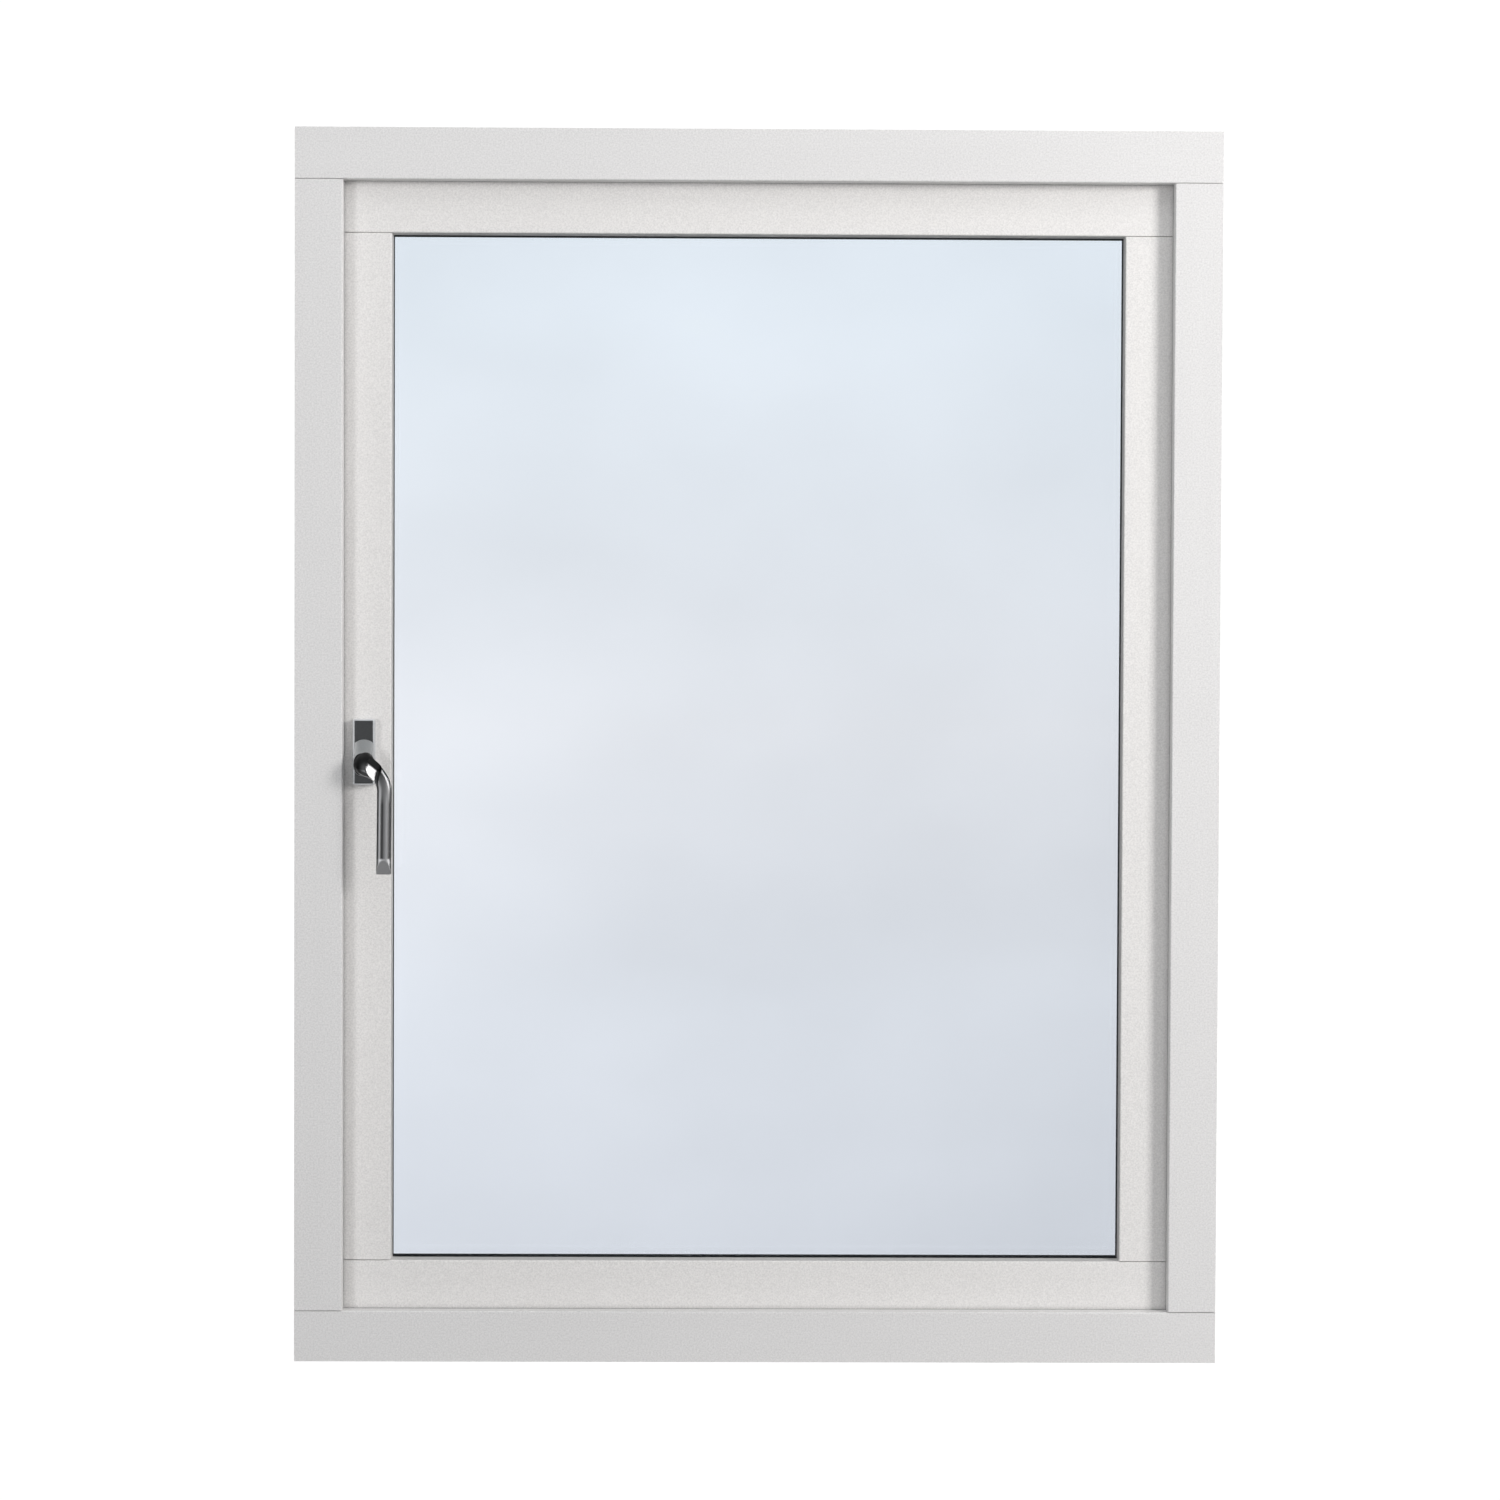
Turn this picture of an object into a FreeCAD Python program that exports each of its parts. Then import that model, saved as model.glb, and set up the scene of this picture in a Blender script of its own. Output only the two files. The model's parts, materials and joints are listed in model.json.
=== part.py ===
import FreeCAD, Part
import math
import os

# A side-hung, outward-opening timber casement window with its lock, hinges and handle.
# +X is right seen from the room, +Y points outdoors, +Z is up. Millimetres.
# The origin is the middle of the frame's underside.

# Driving dimensions.
window_width = 900.0
window_height = 1200.0
frame_depth = 70.0
jamb_face = 46.5            # width of a jamb seen from the room
head_face = 50.0
sill_face = 49.5
stop_depth = 14.0           # lip that the sash closes against
rebate_height = 22.0        # how far the lip stands up from the rebate
sash_gap = 12.0             # channel between sash edge and rebate, for the lock gear
seal_gap = 3.0              # gap that the frame seals fill
seal_width = 5.5
flange_gap = 3.0            # gap behind the outer flange
flange_depth = 12.0         # outer flange of the sash, which laps over the frame
flange_lap = 8.0
stile_face = 56.0           # sash members, seen from the room
top_rail_face = 59.5
bottom_rail_face = 57.0
lip_depth = 18.0            # sash lip in front of the glass
lip_height = 14.0
arris = 1.4                 # rounding of the inner edges
groove_half = 0.4           # half width of the fine groove along each member joint
groove_depth = 3.0
sill_fall = 3.5             # how far the sill rebate slopes down to the outside

pane_thickness = 4.0
pane_space = 20.0
glass_clearance = 5.0
gasket_thickness = 3.0
edge_seal_width = 4.5
spacer_recess = 1.5         # how far the spacer stays back from the sight line
bead_recess = 3.5           # and the beads, with the outer gasket

recess_share = 0.52         # driver recess, as a share of a screw's head
recess_depth = 1.2

wall_levels = (320.0, 880.0)
hinge_levels = (200.0, 1000.0)
hinge_pin_x = 438.0
hinge_pin_y = 54.0
knuckle_radius = 5.0
pin_radius = 3.0
running_clearance = 0.05

handle_x = -383.5           # turning axis of the handle
handle_z = 583.5
plate_width = 21.6
plate_bottom = 562.5
plate_top = 627.0
plate_depth = 10.0
spindle_size = 7.0

gear_module = 1.5
gear_teeth = 14
gear_addendum = 0.8
gear_gap = 0.3              # root clearance
gear_backlash = 0.12
cam_levels = (260.0, 940.0)
cam_radius = 4.0

# Planes worked out from them.
inside = -frame_depth / 2.0
outside = frame_depth / 2.0
shoulder = inside + stop_depth
half_width = window_width / 2.0
opening_x = half_width - jamb_face
opening_bottom = sill_face
opening_top = window_height - head_face
rebate_x = opening_x + rebate_height
rebate_bottom = opening_bottom - rebate_height
rebate_top = opening_top + rebate_height

sash_front = shoulder + seal_gap
sash_back = outside + flange_gap
sash_x = rebate_x - sash_gap
sash_bottom = rebate_bottom + sash_gap
sash_top = rebate_top - sash_gap
flange_back = sash_back + flange_depth
flange_x = rebate_x + flange_lap
flange_bottom = rebate_bottom - flange_lap
flange_top = rebate_top + flange_lap
light_x = sash_x - stile_face
light_bottom = sash_bottom + bottom_rail_face
light_top = sash_top - top_rail_face
lip_back = sash_front + lip_depth
glazing_x = light_x + lip_height
glazing_bottom = light_bottom - lip_height
glazing_top = light_top + lip_height

glass_x = glazing_x - glass_clearance
glass_bottom = glazing_bottom + glass_clearance
glass_top = glazing_top - glass_clearance
pane_y = lip_back + gasket_thickness
unit_back = pane_y + 2 * pane_thickness + pane_space

plate_front = sash_front - plate_depth
lock_y = sash_front + 11.0  # middle plane of the lock gear
pitch_radius = gear_module * gear_teeth / 2.0
rack_x = handle_x - pitch_radius
face_x = -sash_x + 2.0      # inner face of the lock faceplate
rail_x = face_x + 3.2       # inner face of the drive rail
travel = pitch_radius * math.pi / 2.0

os.makedirs("parts", exist_ok=True)


# Shape helpers.
def vec(x, y, z):
    return FreeCAD.Vector(x, y, z)


def block(x0, x1, y0, y1, z0, z1):
    return Part.makeBox(x1 - x0, y1 - y0, z1 - z0, vec(x0, y0, z0))


def rod(start, direction, radius, length):
    return Part.makeCylinder(radius, length, vec(*start), vec(*direction))


def prism(points, direction):
    """Solid made by moving a flat polygon along a vector."""
    corners = [vec(*p) for p in points]
    return Part.Face(Part.makePolygon(corners + corners[:1])).extrude(vec(*direction))


def fused(*solids):
    return solids[0].fuse(list(solids[1:])).removeSplitter()


def cut(solid, tools):
    return solid.cut(list(tools)) if tools else solid


def ring(x, bottom, top, y0, y1, width):
    """Rectangular frame lying in the plane of the window."""
    outer = block(-x, x, y0, y1, bottom, top)
    return outer.cut(block(-x + width, x - width, y0, y1, bottom + width, top - width))


def rounded(solid, radius, chosen):
    """Fillet of the edges whose middle point satisfies chosen."""
    edges = [e for e in solid.Edges if chosen(e.valueAt((e.FirstParameter + e.LastParameter) / 2))]
    return solid.makeFillet(radius, edges)


def edge_tool(corner, across, inward, along):
    """What rounding takes off a straight edge: across and inward point into the solid."""
    start = vec(*corner)
    u, v = vec(*across) * arris, vec(*inward) * arris
    path = vec(*along)
    square = Part.Face(Part.makePolygon([start, start + u, start + u + v, start + v, start]))
    axis = vec(*path)
    axis.normalize()
    return square.extrude(path).cut(Part.makeCylinder(arris, path.Length, start + u + v, axis))


def joint_grooves(x0, x1, face_y, level):
    """Fine slots along the joint lines between uprights and a cross member, left and right."""
    y = sorted((face_y, face_y + (groove_depth if face_y < 0 else -groove_depth)))
    low, high = level - groove_half, level + groove_half
    return [
        block(-x1, -x0, y[0], y[1], low, high),
        block(x0, x1, y[0], y[1], low, high),
    ]


def frame_grooves():
    found = []
    for level in (opening_bottom, opening_top):
        found += joint_grooves(opening_x, half_width, inside, level)
        found += joint_grooves(rebate_x, half_width, outside, level)
    return found


def sash_grooves():
    found = []
    for level in (light_bottom, light_top):
        found += joint_grooves(light_x, sash_x, sash_front, level)
        found += joint_grooves(glazing_x, flange_x, flange_back, level)
    return found


def screw(head, direction, length, radius=2.0, head_radius=3.5, head_height=2.0):
    """Countersunk screw filling its hole: its head's face is centred on head."""
    cone = Part.makeCone(head_radius, radius, head_height, vec(*head), vec(*direction))
    return fused(cone, rod(head, direction, radius, length))


def driven(screws, head_radius):
    """The screws with a six-sided driver recess in each head."""
    return [with_recess(solid, head_radius * recess_share) for solid in screws]


def with_recess(solid, reach):
    """One screw with the recess: reach is the distance from its middle to each corner."""
    flats = [f for f in solid.Faces if f.Surface.TypeId == "Part::GeomPlane"]
    head = max(flats, key=lambda f: f.Area)
    centre, outward = head.CenterOfMass, head.normalAt(0, 0)
    u = outward.cross(vec(0, 0, 1) if abs(outward.z) < 0.5 else vec(1, 0, 0))
    v = outward.cross(u)
    angles = [n * math.pi / 3 for n in range(6)]
    corners = [centre + u * (reach * math.cos(a)) + v * (reach * math.sin(a)) for a in angles]
    hexagon = Part.Face(Part.makePolygon(corners + corners[:1]))
    return solid.cut(hexagon.extrude(outward * -recess_depth))


def save(name, *solids):
    Part.makeCompound(list(solids)).exportStep("parts/" + name + ".step")


# Fixed frame.
def corner_screws():
    """Long screws through head and sill into the ends of the jambs."""
    found = []
    for side in (-1, 1):
        for x, y in ((half_width - 20.0, inside + 9.0), (half_width - 8.0, outside - 9.0)):
            for z, way in ((window_height, -1), (0.0, 1)):
                found.append(screw((side * x, y, z), (0, 0, way), 110.0, 3.0, 5.5, 3.0))
    return found


def tenon(side, level, way):
    """Stub tenon that joins a jamb to the head or the sill."""
    x = sorted((side * (half_width - 6.0), side * (half_width - 20.0)))
    z = sorted((level, level + way * 14.0))
    return block(x[0], x[1], -6.0, 18.0, z[0], z[1])


def wall_holes(side):
    """Clearance holes for the two screws that fasten a jamb to the wall."""
    return [rod((side * half_width, 8.0, z), (-side, 0, 0), 4.0, 40.0) for z in wall_levels]


def frame_jamb(side, hidden):
    x = sorted((side * half_width, side * opening_x))
    member = block(x[0], x[1], inside, outside, opening_bottom, opening_top)
    tenons = [tenon(side, opening_top, 1), tenon(side, opening_bottom, -1)]
    rebate = sorted((side * rebate_x, side * opening_x))
    tool = block(rebate[0], rebate[1], shoulder, outside, opening_bottom, opening_top)
    height = (0, 0, opening_top - opening_bottom)
    edge = edge_tool((side * opening_x, inside, opening_bottom), (side, 0, 0), (0, 1, 0), height)
    tools = [tool, edge] + frame_grooves() + wall_holes(side)
    return cut(fused(member, *tenons), tools + hidden)


def frame_head(hidden):
    member = block(-half_width, half_width, inside, outside, opening_top, window_height)
    tool = block(-rebate_x, rebate_x, shoulder, outside, opening_top, rebate_top)
    edge = edge_tool((-opening_x, inside, opening_top), (0, 0, 1), (0, 1, 0), (2 * opening_x, 0, 0))
    sockets = [tenon(side, opening_top, 1) for side in (-1, 1)]
    return cut(member, [tool, edge] + sockets + frame_grooves() + hidden)


def frame_sill(hidden):
    member = block(-half_width, half_width, inside, outside, 0.0, opening_bottom)
    outline = [
        (-rebate_x, shoulder, opening_bottom),
        (-rebate_x, shoulder, rebate_bottom),
        (-rebate_x, outside, rebate_bottom - sill_fall),
        (-rebate_x, outside, opening_bottom),
    ]
    tool = prism(outline, (2 * rebate_x, 0, 0))
    start = (-opening_x, inside, opening_bottom)
    edge = edge_tool(start, (0, 0, -1), (0, 1, 0), (2 * opening_x, 0, 0))
    sockets = [tenon(side, opening_bottom, -1) for side in (-1, 1)]
    return cut(member, [tool, edge] + sockets + frame_grooves() + hidden)


def seal_strip(x0, x1, z0, z1, y0):
    """Bulb seal: a flat foot under a narrower rounded bulb, 0.3 clear of what it closes on."""
    strip = block(x0, x1, y0, y0 + seal_gap - 0.3, z0, z1)
    far = y0 + seal_gap - 0.3
    long_way = 0 if x1 - x0 > z1 - z0 else 2

    def on_bulb(p):
        ends = (x0, x1) if long_way == 0 else (z0, z1)
        return abs(p.y - far) < 0.01 and all(abs(p[long_way] - end) > 1.0 for end in ends)

    return rounded(strip, 1.2, on_bulb)


def make_frame_seals():
    x0, x1 = opening_x, opening_x + seal_width
    low, high = opening_bottom, opening_top
    save("frame_seal_head", seal_strip(-x1, x1, high, high + seal_width, shoulder))
    save("frame_seal_sill", seal_strip(-x1, x1, low - seal_width, low, shoulder))
    save("frame_seal_left", seal_strip(-x1, -x0, low, high, shoulder))
    save("frame_seal_right", seal_strip(x0, x1, low, high, shoulder))


# Hinges.
def hinge_frame_leaf(level):
    """Cranked leaf on the frame: plate, two legs and two knuckles."""
    plate = block(hinge_pin_x - 2.0, half_width, outside, outside + 2.6, level - 45.0, level + 45.0)
    shapes = [plate]
    for z0, z1 in ((level - 45.0, level - 15.0), (level + 15.0, level + 45.0)):
        edge = hinge_pin_x + knuckle_radius
        shapes.append(block(edge - 2.6, edge, outside, hinge_pin_y, z0, z1))
        shapes.append(rod((hinge_pin_x, hinge_pin_y, z0), (0, 0, 1), knuckle_radius, z1 - z0))
    bore = rod((hinge_pin_x, hinge_pin_y, level - 50.0), (0, 0, 1), pin_radius, 100.0)
    return cut(fused(*shapes), [bore] + frame_leaf_screws(level))


def frame_leaf_screws(level):
    x = half_width - 3.4
    return [
        screw((x, outside + 2.6, level + dz), (0, -1, 0), 30.0, 1.8, 3.2, 1.6)
        for dz in (-32.0, 0.0, 32.0)
    ]


def hinge_sash_leaf(level):
    """Leaf on the outer face of the sash, with the middle knuckle."""
    plate = block(
        flange_x - 36.0, flange_x - 1.0, flange_back, flange_back + 2.6, level - 45.0, level + 45.0
    )
    tongue = block(
        flange_x - 2.0, hinge_pin_x - 2.0, flange_back, flange_back + 2.6, level - 14.0, level + 14.0
    )
    knuckle = rod((hinge_pin_x, hinge_pin_y, level - 14.0), (0, 0, 1), knuckle_radius, 28.0)
    bore_radius = pin_radius + running_clearance
    bore = rod((hinge_pin_x, hinge_pin_y, level - 20.0), (0, 0, 1), bore_radius, 40.0)
    return cut(fused(plate, tongue, knuckle), [bore] + sash_leaf_screws(level))


def sash_leaf_screws(level):
    return [
        screw((flange_x - dx, flange_back + 2.6, level + dz), (0, -1, 0), 36.0, 2.2, 4.0, 2.0)
        for dx, dz in ((12.0, -34.0), (24.0, -22.0), (24.0, 22.0), (12.0, 34.0))
    ]


def hinge_pin(level):
    start = (hinge_pin_x, hinge_pin_y, level - 45.0)
    shaft = rod(start, (0, 0, 1), pin_radius, 90.0)
    caps = []
    for z, way in ((level + 45.0, 1), (level - 45.0, -1)):
        cap = Part.makeCone(4.4, 2.8, 3.0, vec(hinge_pin_x, hinge_pin_y, z), vec(0, 0, way))
        caps.append(cap)
    return fused(shaft, *caps)


def hinge_washers(level):
    """Thin bearing washers between the knuckles."""
    found = []
    for z in (level - 14.9, level + 14.1):
        disc = rod((hinge_pin_x, hinge_pin_y, z), (0, 0, 1), 4.7, 0.8)
        found.append(disc.cut(rod((hinge_pin_x, hinge_pin_y, z), (0, 0, 1), pin_radius, 0.8)))
    return found


def make_hinges():
    washers, frame_screws, sash_screws = [], [], []
    for name, level in zip(("lower", "upper"), hinge_levels):
        save("hinge_frame_leaf_" + name, hinge_frame_leaf(level))
        save("hinge_sash_leaf_" + name, hinge_sash_leaf(level))
        save("hinge_pin_" + name, hinge_pin(level))
        washers += hinge_washers(level)
        frame_screws += frame_leaf_screws(level)
        sash_screws += sash_leaf_screws(level)
    save("hinge_washers", *washers)
    save("hinge_frame_screws", *driven(frame_screws, 3.2))
    save("hinge_sash_screws", *driven(sash_screws, 4.0))


# Sash.
def stile_tenon(side, level, way):
    """Stub tenon that joins a stile to a rail."""
    x = sorted((side * (sash_x - 8.0), side * (sash_x - 34.0)))
    z = sorted((level, level + way * 26.0))
    return block(x[0], x[1], 8.0, 24.0, z[0], z[1])


def sash_stile(side, hidden):
    """Upright sash member with its outer flange, between the rails."""
    body = sorted((side * sash_x, side * light_x))
    flange = sorted((side * flange_x, side * sash_x))
    solid = block(body[0], body[1], sash_front, flange_back, light_bottom, light_top)
    lap = block(flange[0], flange[1], sash_back, flange_back, light_bottom, light_top)
    rebate = sorted((side * glazing_x, side * light_x))
    tool = block(rebate[0], rebate[1], lip_back, flange_back, light_bottom, light_top)
    height = (0, 0, light_top - light_bottom)
    edge = edge_tool((side * light_x, sash_front, light_bottom), (side, 0, 0), (0, 1, 0), height)
    tenons = [stile_tenon(side, light_top, 1), stile_tenon(side, light_bottom, -1)]
    return cut(fused(solid, lap, *tenons), [tool, edge] + sash_grooves() + hidden)


def sash_rail(low, high, flange_low, flange_high, light_level, up, hidden):
    """Top or bottom sash member, over the full width."""
    body = block(-sash_x, sash_x, sash_front, sash_back, low, high)
    lap = block(-flange_x, flange_x, sash_back, flange_back, flange_low, flange_high)
    z = sorted((light_level, light_level + up * lip_height))
    tool = block(-glazing_x, glazing_x, lip_back, flange_back, z[0], z[1])
    start = (-light_x, sash_front, light_level)
    edge = edge_tool(start, (0, 0, up), (0, 1, 0), (2 * light_x, 0, 0))
    sockets = [stile_tenon(side, light_level, up) for side in (-1, 1)]
    return cut(fused(body, lap), [tool, edge] + sockets + sash_grooves() + hidden)


def flange_seals():
    """Four strips in the gap behind the outer flange."""
    y0, y1 = outside + 0.3, sash_back
    x0, x1 = rebate_x + 1.5, flange_x - 1.5
    low0, low1 = flange_bottom + 1.5, rebate_bottom - 1.5
    high0, high1 = rebate_top + 1.5, flange_top - 1.5
    return [
        block(-x1, x1, y0, y1, high0, high1),
        block(-x1, x1, y0, y1, low0, low1),
        block(-x1, -x0, y0, y1, low1, high0),
        block(x0, x1, y0, y1, low1, high0),
    ]


def drip_bar():
    """Weather bar on the bottom rail, sloped on top and grooved underneath."""
    half = flange_x - 9.0
    back, front = flange_back, flange_back + 20.0
    low, high = flange_bottom + 4.0, flange_bottom + 26.0
    outline = [
        (-half, back, low),
        (-half, front - 2.0, low),
        (-half, front, low + 2.0),
        (-half, front, low + 8.0),
        (-half, back + 3.0, high),
        (-half, back, high),
    ]
    bar = prism(outline, (2 * half, 0, 0))
    groove = block(-half, half, front - 9.0, front - 6.0, low, low + 3.0)
    return cut(bar, [groove] + drip_bar_screws())


def drip_bar_screws():
    front = flange_back + 20.0
    z = flange_bottom + 8.0
    return [screw((x, front, z), (0, -1, 0), 30.0, 2.0, 3.8, 2.2) for x in (-340, -115, 115, 340)]


def make_sash_trim():
    save("flange_seals", *flange_seals())
    save("drip_bar", drip_bar())
    save("drip_bar_screws", *driven(drip_bar_screws(), 3.8))


# Glazing.
def make_glass():
    outer_y = pane_y + pane_thickness + pane_space
    for name, y in (("glass_inner", pane_y), ("glass_outer", outer_y)):
        save(name, block(-glass_x, glass_x, y, y + pane_thickness, glass_bottom, glass_top))
    y0, y1 = pane_y + pane_thickness, outer_y
    save("glass_edge_seal", ring(glass_x, glass_bottom, glass_top, y0, y1, edge_seal_width))
    x, width = glass_x - edge_seal_width, glass_x - edge_seal_width - light_x - spacer_recess
    low, high = glass_bottom + edge_seal_width, glass_top - edge_seal_width
    save("glass_spacer", ring(x, low, high, y0, y1, width))


def glazing_gasket(y, recess):
    """Rubber ring against the glass, its inner edge behind the sight line by recess."""
    cover = 8.0
    x, low, high = light_x + cover, light_bottom - cover, light_top + cover
    return ring(x, low, high, y, y + gasket_thickness, cover - recess)


def setting_blocks():
    """Blocks that carry the glass unit and keep it off the timber."""
    y0, y1 = pane_y, unit_back
    shapes = []
    for x in (-260.0, 260.0):
        shapes.append(block(x - 50.0, x + 50.0, y0, y1, glazing_bottom, glass_bottom))
    for side, z in ((1, 180.0), (-1, 1010.0)):
        x = sorted((side * glass_x, side * glazing_x))
        shapes.append(block(x[0], x[1], y0, y1, z - 50.0, z + 50.0))
    return shapes


def bead_outline(level, up):
    """Section of a glazing bead in Y and its own height, with a sloped outer face."""
    base = unit_back + gasket_thickness
    return [
        (base, level + up * bead_recess),
        (base, level + up * lip_height),
        (flange_back, level + up * lip_height),
        (flange_back, level + up * (bead_recess + 4.0)),
        (base + 4.0, level + up * bead_recess),
    ]


def bead_across(level, up, hidden):
    outline = [(-glazing_x, y, z) for y, z in bead_outline(level, up)]
    return cut(prism(outline, (2 * glazing_x, 0, 0)), hidden)


def bead_upright(side, hidden):
    outline = [(x, y, light_bottom) for y, x in bead_outline(side * light_x, side)]
    return cut(prism(outline, (0, 0, light_top - light_bottom)), hidden)


def bead_screws():
    y = unit_back + gasket_thickness + 2.5
    low, high, x_face = light_bottom - bead_recess, light_top + bead_recess, light_x + bead_recess
    found = []
    for x in (-250.0, 0.0, 250.0):
        found.append(screw((x, y, low), (0, 0, -1), 26.5, 1.5, 2.4, 1.4))
        found.append(screw((x, y, high), (0, 0, 1), 26.5, 1.5, 2.4, 1.4))
    for z in (250.0, 600.0, 950.0):
        for side in (-1, 1):
            found.append(screw((side * x_face, y, z), (side, 0, 0), 26.5, 1.5, 2.4, 1.4))
    return found


def make_glazing():
    make_glass()
    save("glazing_gasket_inner", glazing_gasket(lip_back, 0.0))
    save("glazing_gasket_outer", glazing_gasket(unit_back, bead_recess))
    save("setting_blocks", *setting_blocks())
    screws = bead_screws()
    save("bead_bottom", bead_across(light_bottom, -1, screws))
    save("bead_top", bead_across(light_top, 1, screws))
    save("bead_left", bead_upright(-1, screws))
    save("bead_right", bead_upright(1, screws))
    save("bead_screws", *driven(screws, 2.4))


# Lock: faceplate, gearbox, drive rail and cams.
face_low, face_high = 145.0, 1055.0
rail_low, rail_high = 182.0, 1022.0
case_low, case_high = 545.0, 633.0
case_right = -367.5
case_front, case_back = lock_y - 6.0, lock_y + 5.0
cover_front = lock_y + 3.5


def faceplate():
    plate = block(-sash_x, face_x, lock_y - 8.0, lock_y + 8.0, face_low, face_high)
    slots = []
    for level in cam_levels:
        for z in (level + 2.0, level - travel - 2.0):
            slots.append(rod((-sash_x - 1.0, lock_y, z), (1, 0, 0), 3.3, 4.0))
        low, high = level - travel - 2.0, level + 2.0
        slots.append(block(-sash_x - 1.0, face_x + 1.0, lock_y - 3.3, lock_y + 3.3, low, high))
    return cut(plate, slots + faceplate_screws())


def faceplate_screws():
    return [
        screw((-sash_x, lock_y, z), (1, 0, 0), 24.0, 2.0, 3.6, 1.8)
        for z in (face_low + 8.0, face_high - 8.0)
    ]


def lock_case():
    """Open-backed gearbox housing set into the stile."""
    shell = block(face_x + 3.5, case_right, case_front, cover_front, case_low, case_high)
    hollow = block(
        face_x + 3.5, case_right - 2.0, case_front + 1.5, cover_front, case_low + 3.0, case_high - 3.0
    )
    hub = rod((handle_x, case_front - 1.0, handle_z), (0, 1, 0), 5.4, 4.0)
    return cut(shell, [hollow, hub] + handle_screws())


def lock_cover():
    plate = block(face_x + 3.5, case_right, cover_front, case_back, case_low, case_high)
    return cut(plate, handle_screws())


def gear_pinion():
    """Involute pinion on the spindle. A tooth gap faces the rack at rest."""
    pressure = math.radians(20.0)
    base = pitch_radius * math.cos(pressure)
    root = pitch_radius - gear_addendum * gear_module - gear_gap
    tip = pitch_radius + gear_addendum * gear_module
    half_tooth = math.pi / (2 * gear_teeth) - gear_backlash / (2 * pitch_radius)
    start = half_tooth + math.tan(pressure) - pressure

    def flank_point(radius, centre, side):
        bend = math.acos(min(1.0, base / radius))
        angle = centre + side * (start - (math.tan(bend) - bend))
        return handle_x + radius * math.cos(angle), handle_z + radius * math.sin(angle)

    radii = [root, base] + [base + (tip - base) * k / 4.0 for k in range(1, 5)]
    outline = []
    for n in range(gear_teeth):
        centre = math.pi + (n + 0.5) * 2 * math.pi / gear_teeth
        outline += [flank_point(radius, centre, -1) for radius in radii]
        outline += [flank_point(radius, centre, 1) for radius in reversed(radii)]
    front = lock_y - 3.5
    wheel = prism([(x, front, z) for x, z in outline], (0, 6.6, 0))
    hub = rod((handle_x, front, handle_z), (0, -1, 0), 5.1, 2.2)
    return cut(fused(wheel, hub), [square_bar(lock_y - 20.0, lock_y + 20.0)])


def square_bar(y0, y1):
    half = spindle_size / 2.0
    return block(handle_x - half, handle_x + half, y0, y1, handle_z - half, handle_z + half)


def drive_rack():
    """Toothed bar that the pinion moves. A tooth is level with the pinion's axis."""
    pitch = math.pi * gear_module
    slope = math.tan(math.radians(20.0))
    root_x = rack_x - gear_addendum * gear_module - gear_gap
    tip_x = rack_x + gear_addendum * gear_module
    bar = block(rail_x, root_x, lock_y - 3.0, lock_y + 3.0, handle_z - 12.5, handle_z + 31.5)
    half = pitch / 4.0 - gear_backlash / 2.0
    teeth = []
    for n in range(-2, 7):
        z = handle_z + n * pitch
        wide = half + (rack_x - root_x) * slope
        slim = half - (tip_x - rack_x) * slope
        outline = [(root_x, z - wide), (tip_x, z - slim), (tip_x, z + slim), (root_x, z + wide)]
        teeth.append(prism([(x, lock_y - 3.0, level) for x, level in outline], (0, 6.0, 0)))
    return fused(bar, *teeth)


def drive_cam(level):
    """Roller on a stud, which the keep holds when the lock is shut."""
    stud = rod((rail_x - 3.0, lock_y, level), (-1, 0, 0), 3.0, 4.0)
    roller = rod((-sash_x - 0.7, lock_y, level), (-1, 0, 0), cam_radius, 8.6)
    far = -sash_x - 9.3
    return rounded(fused(stud, roller), 0.8, lambda p: abs(p.x - far) < 0.01)


def keep_screws(level):
    return [
        screw((-rebate_x + 2.0, lock_y, level + dz), (-1, 0, 0), 18.0, 1.8, 3.2, 1.5)
        for dz in (-16.0, 17.0)
    ]


def lock_keep(level):
    """Keep on the jamb: a base, and a hook that the cam slides behind."""
    root = -rebate_x
    base = block(root, root + 2.0, lock_y - 12.0, lock_y + 11.0, level - 22.0, level + 22.0)
    hook_y = lock_y + cam_radius + 0.4
    hook = block(root + 2.0, root + 10.5, hook_y, hook_y + 4.0, level - 8.0, level + 12.0)
    end = block(root + 2.0, root + 10.5, lock_y - 5.0, hook_y + 4.0, level + 8.0, level + 12.0)
    return cut(fused(base, hook, end), keep_screws(level))


def lock_pocket():
    """What the faceplate, the drive rail and the gearbox take out of the left stile."""
    plate = block(-sash_x, face_x, lock_y - 8.0, lock_y + 8.0, face_low, face_high)
    channel = block(face_x, face_x + 3.5, lock_y - 6.5, lock_y + 6.5, rail_low - 18.0, rail_high + 2.0)
    box = block(face_x + 3.5, case_right, case_front, case_back, case_low, case_high)
    hub = rod((handle_x, sash_front - 1.0, handle_z), (0, 1, 0), 7.5, 8.0)
    return [plate, channel, box, hub, handle_peg()] + handle_screws() + faceplate_screws()


def make_lock():
    save("lock_faceplate", faceplate())
    save("faceplate_screws", *driven(faceplate_screws(), 3.6))
    save("lock_case", lock_case())
    save("lock_case_cover", lock_cover())
    save("lock_pinion", gear_pinion())
    save("drive_rail", block(rail_x - 3.0, rail_x, lock_y - 6.0, lock_y + 6.0, rail_low, rail_high))
    save("drive_rack", drive_rack())
    screws = []
    for name, level in zip(("lower", "upper"), cam_levels):
        save("drive_cam_" + name, drive_cam(level))
        save("lock_keep_" + name, lock_keep(level))
        screws += keep_screws(level)
    save("keep_screws", *driven(screws, 3.2))


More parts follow.
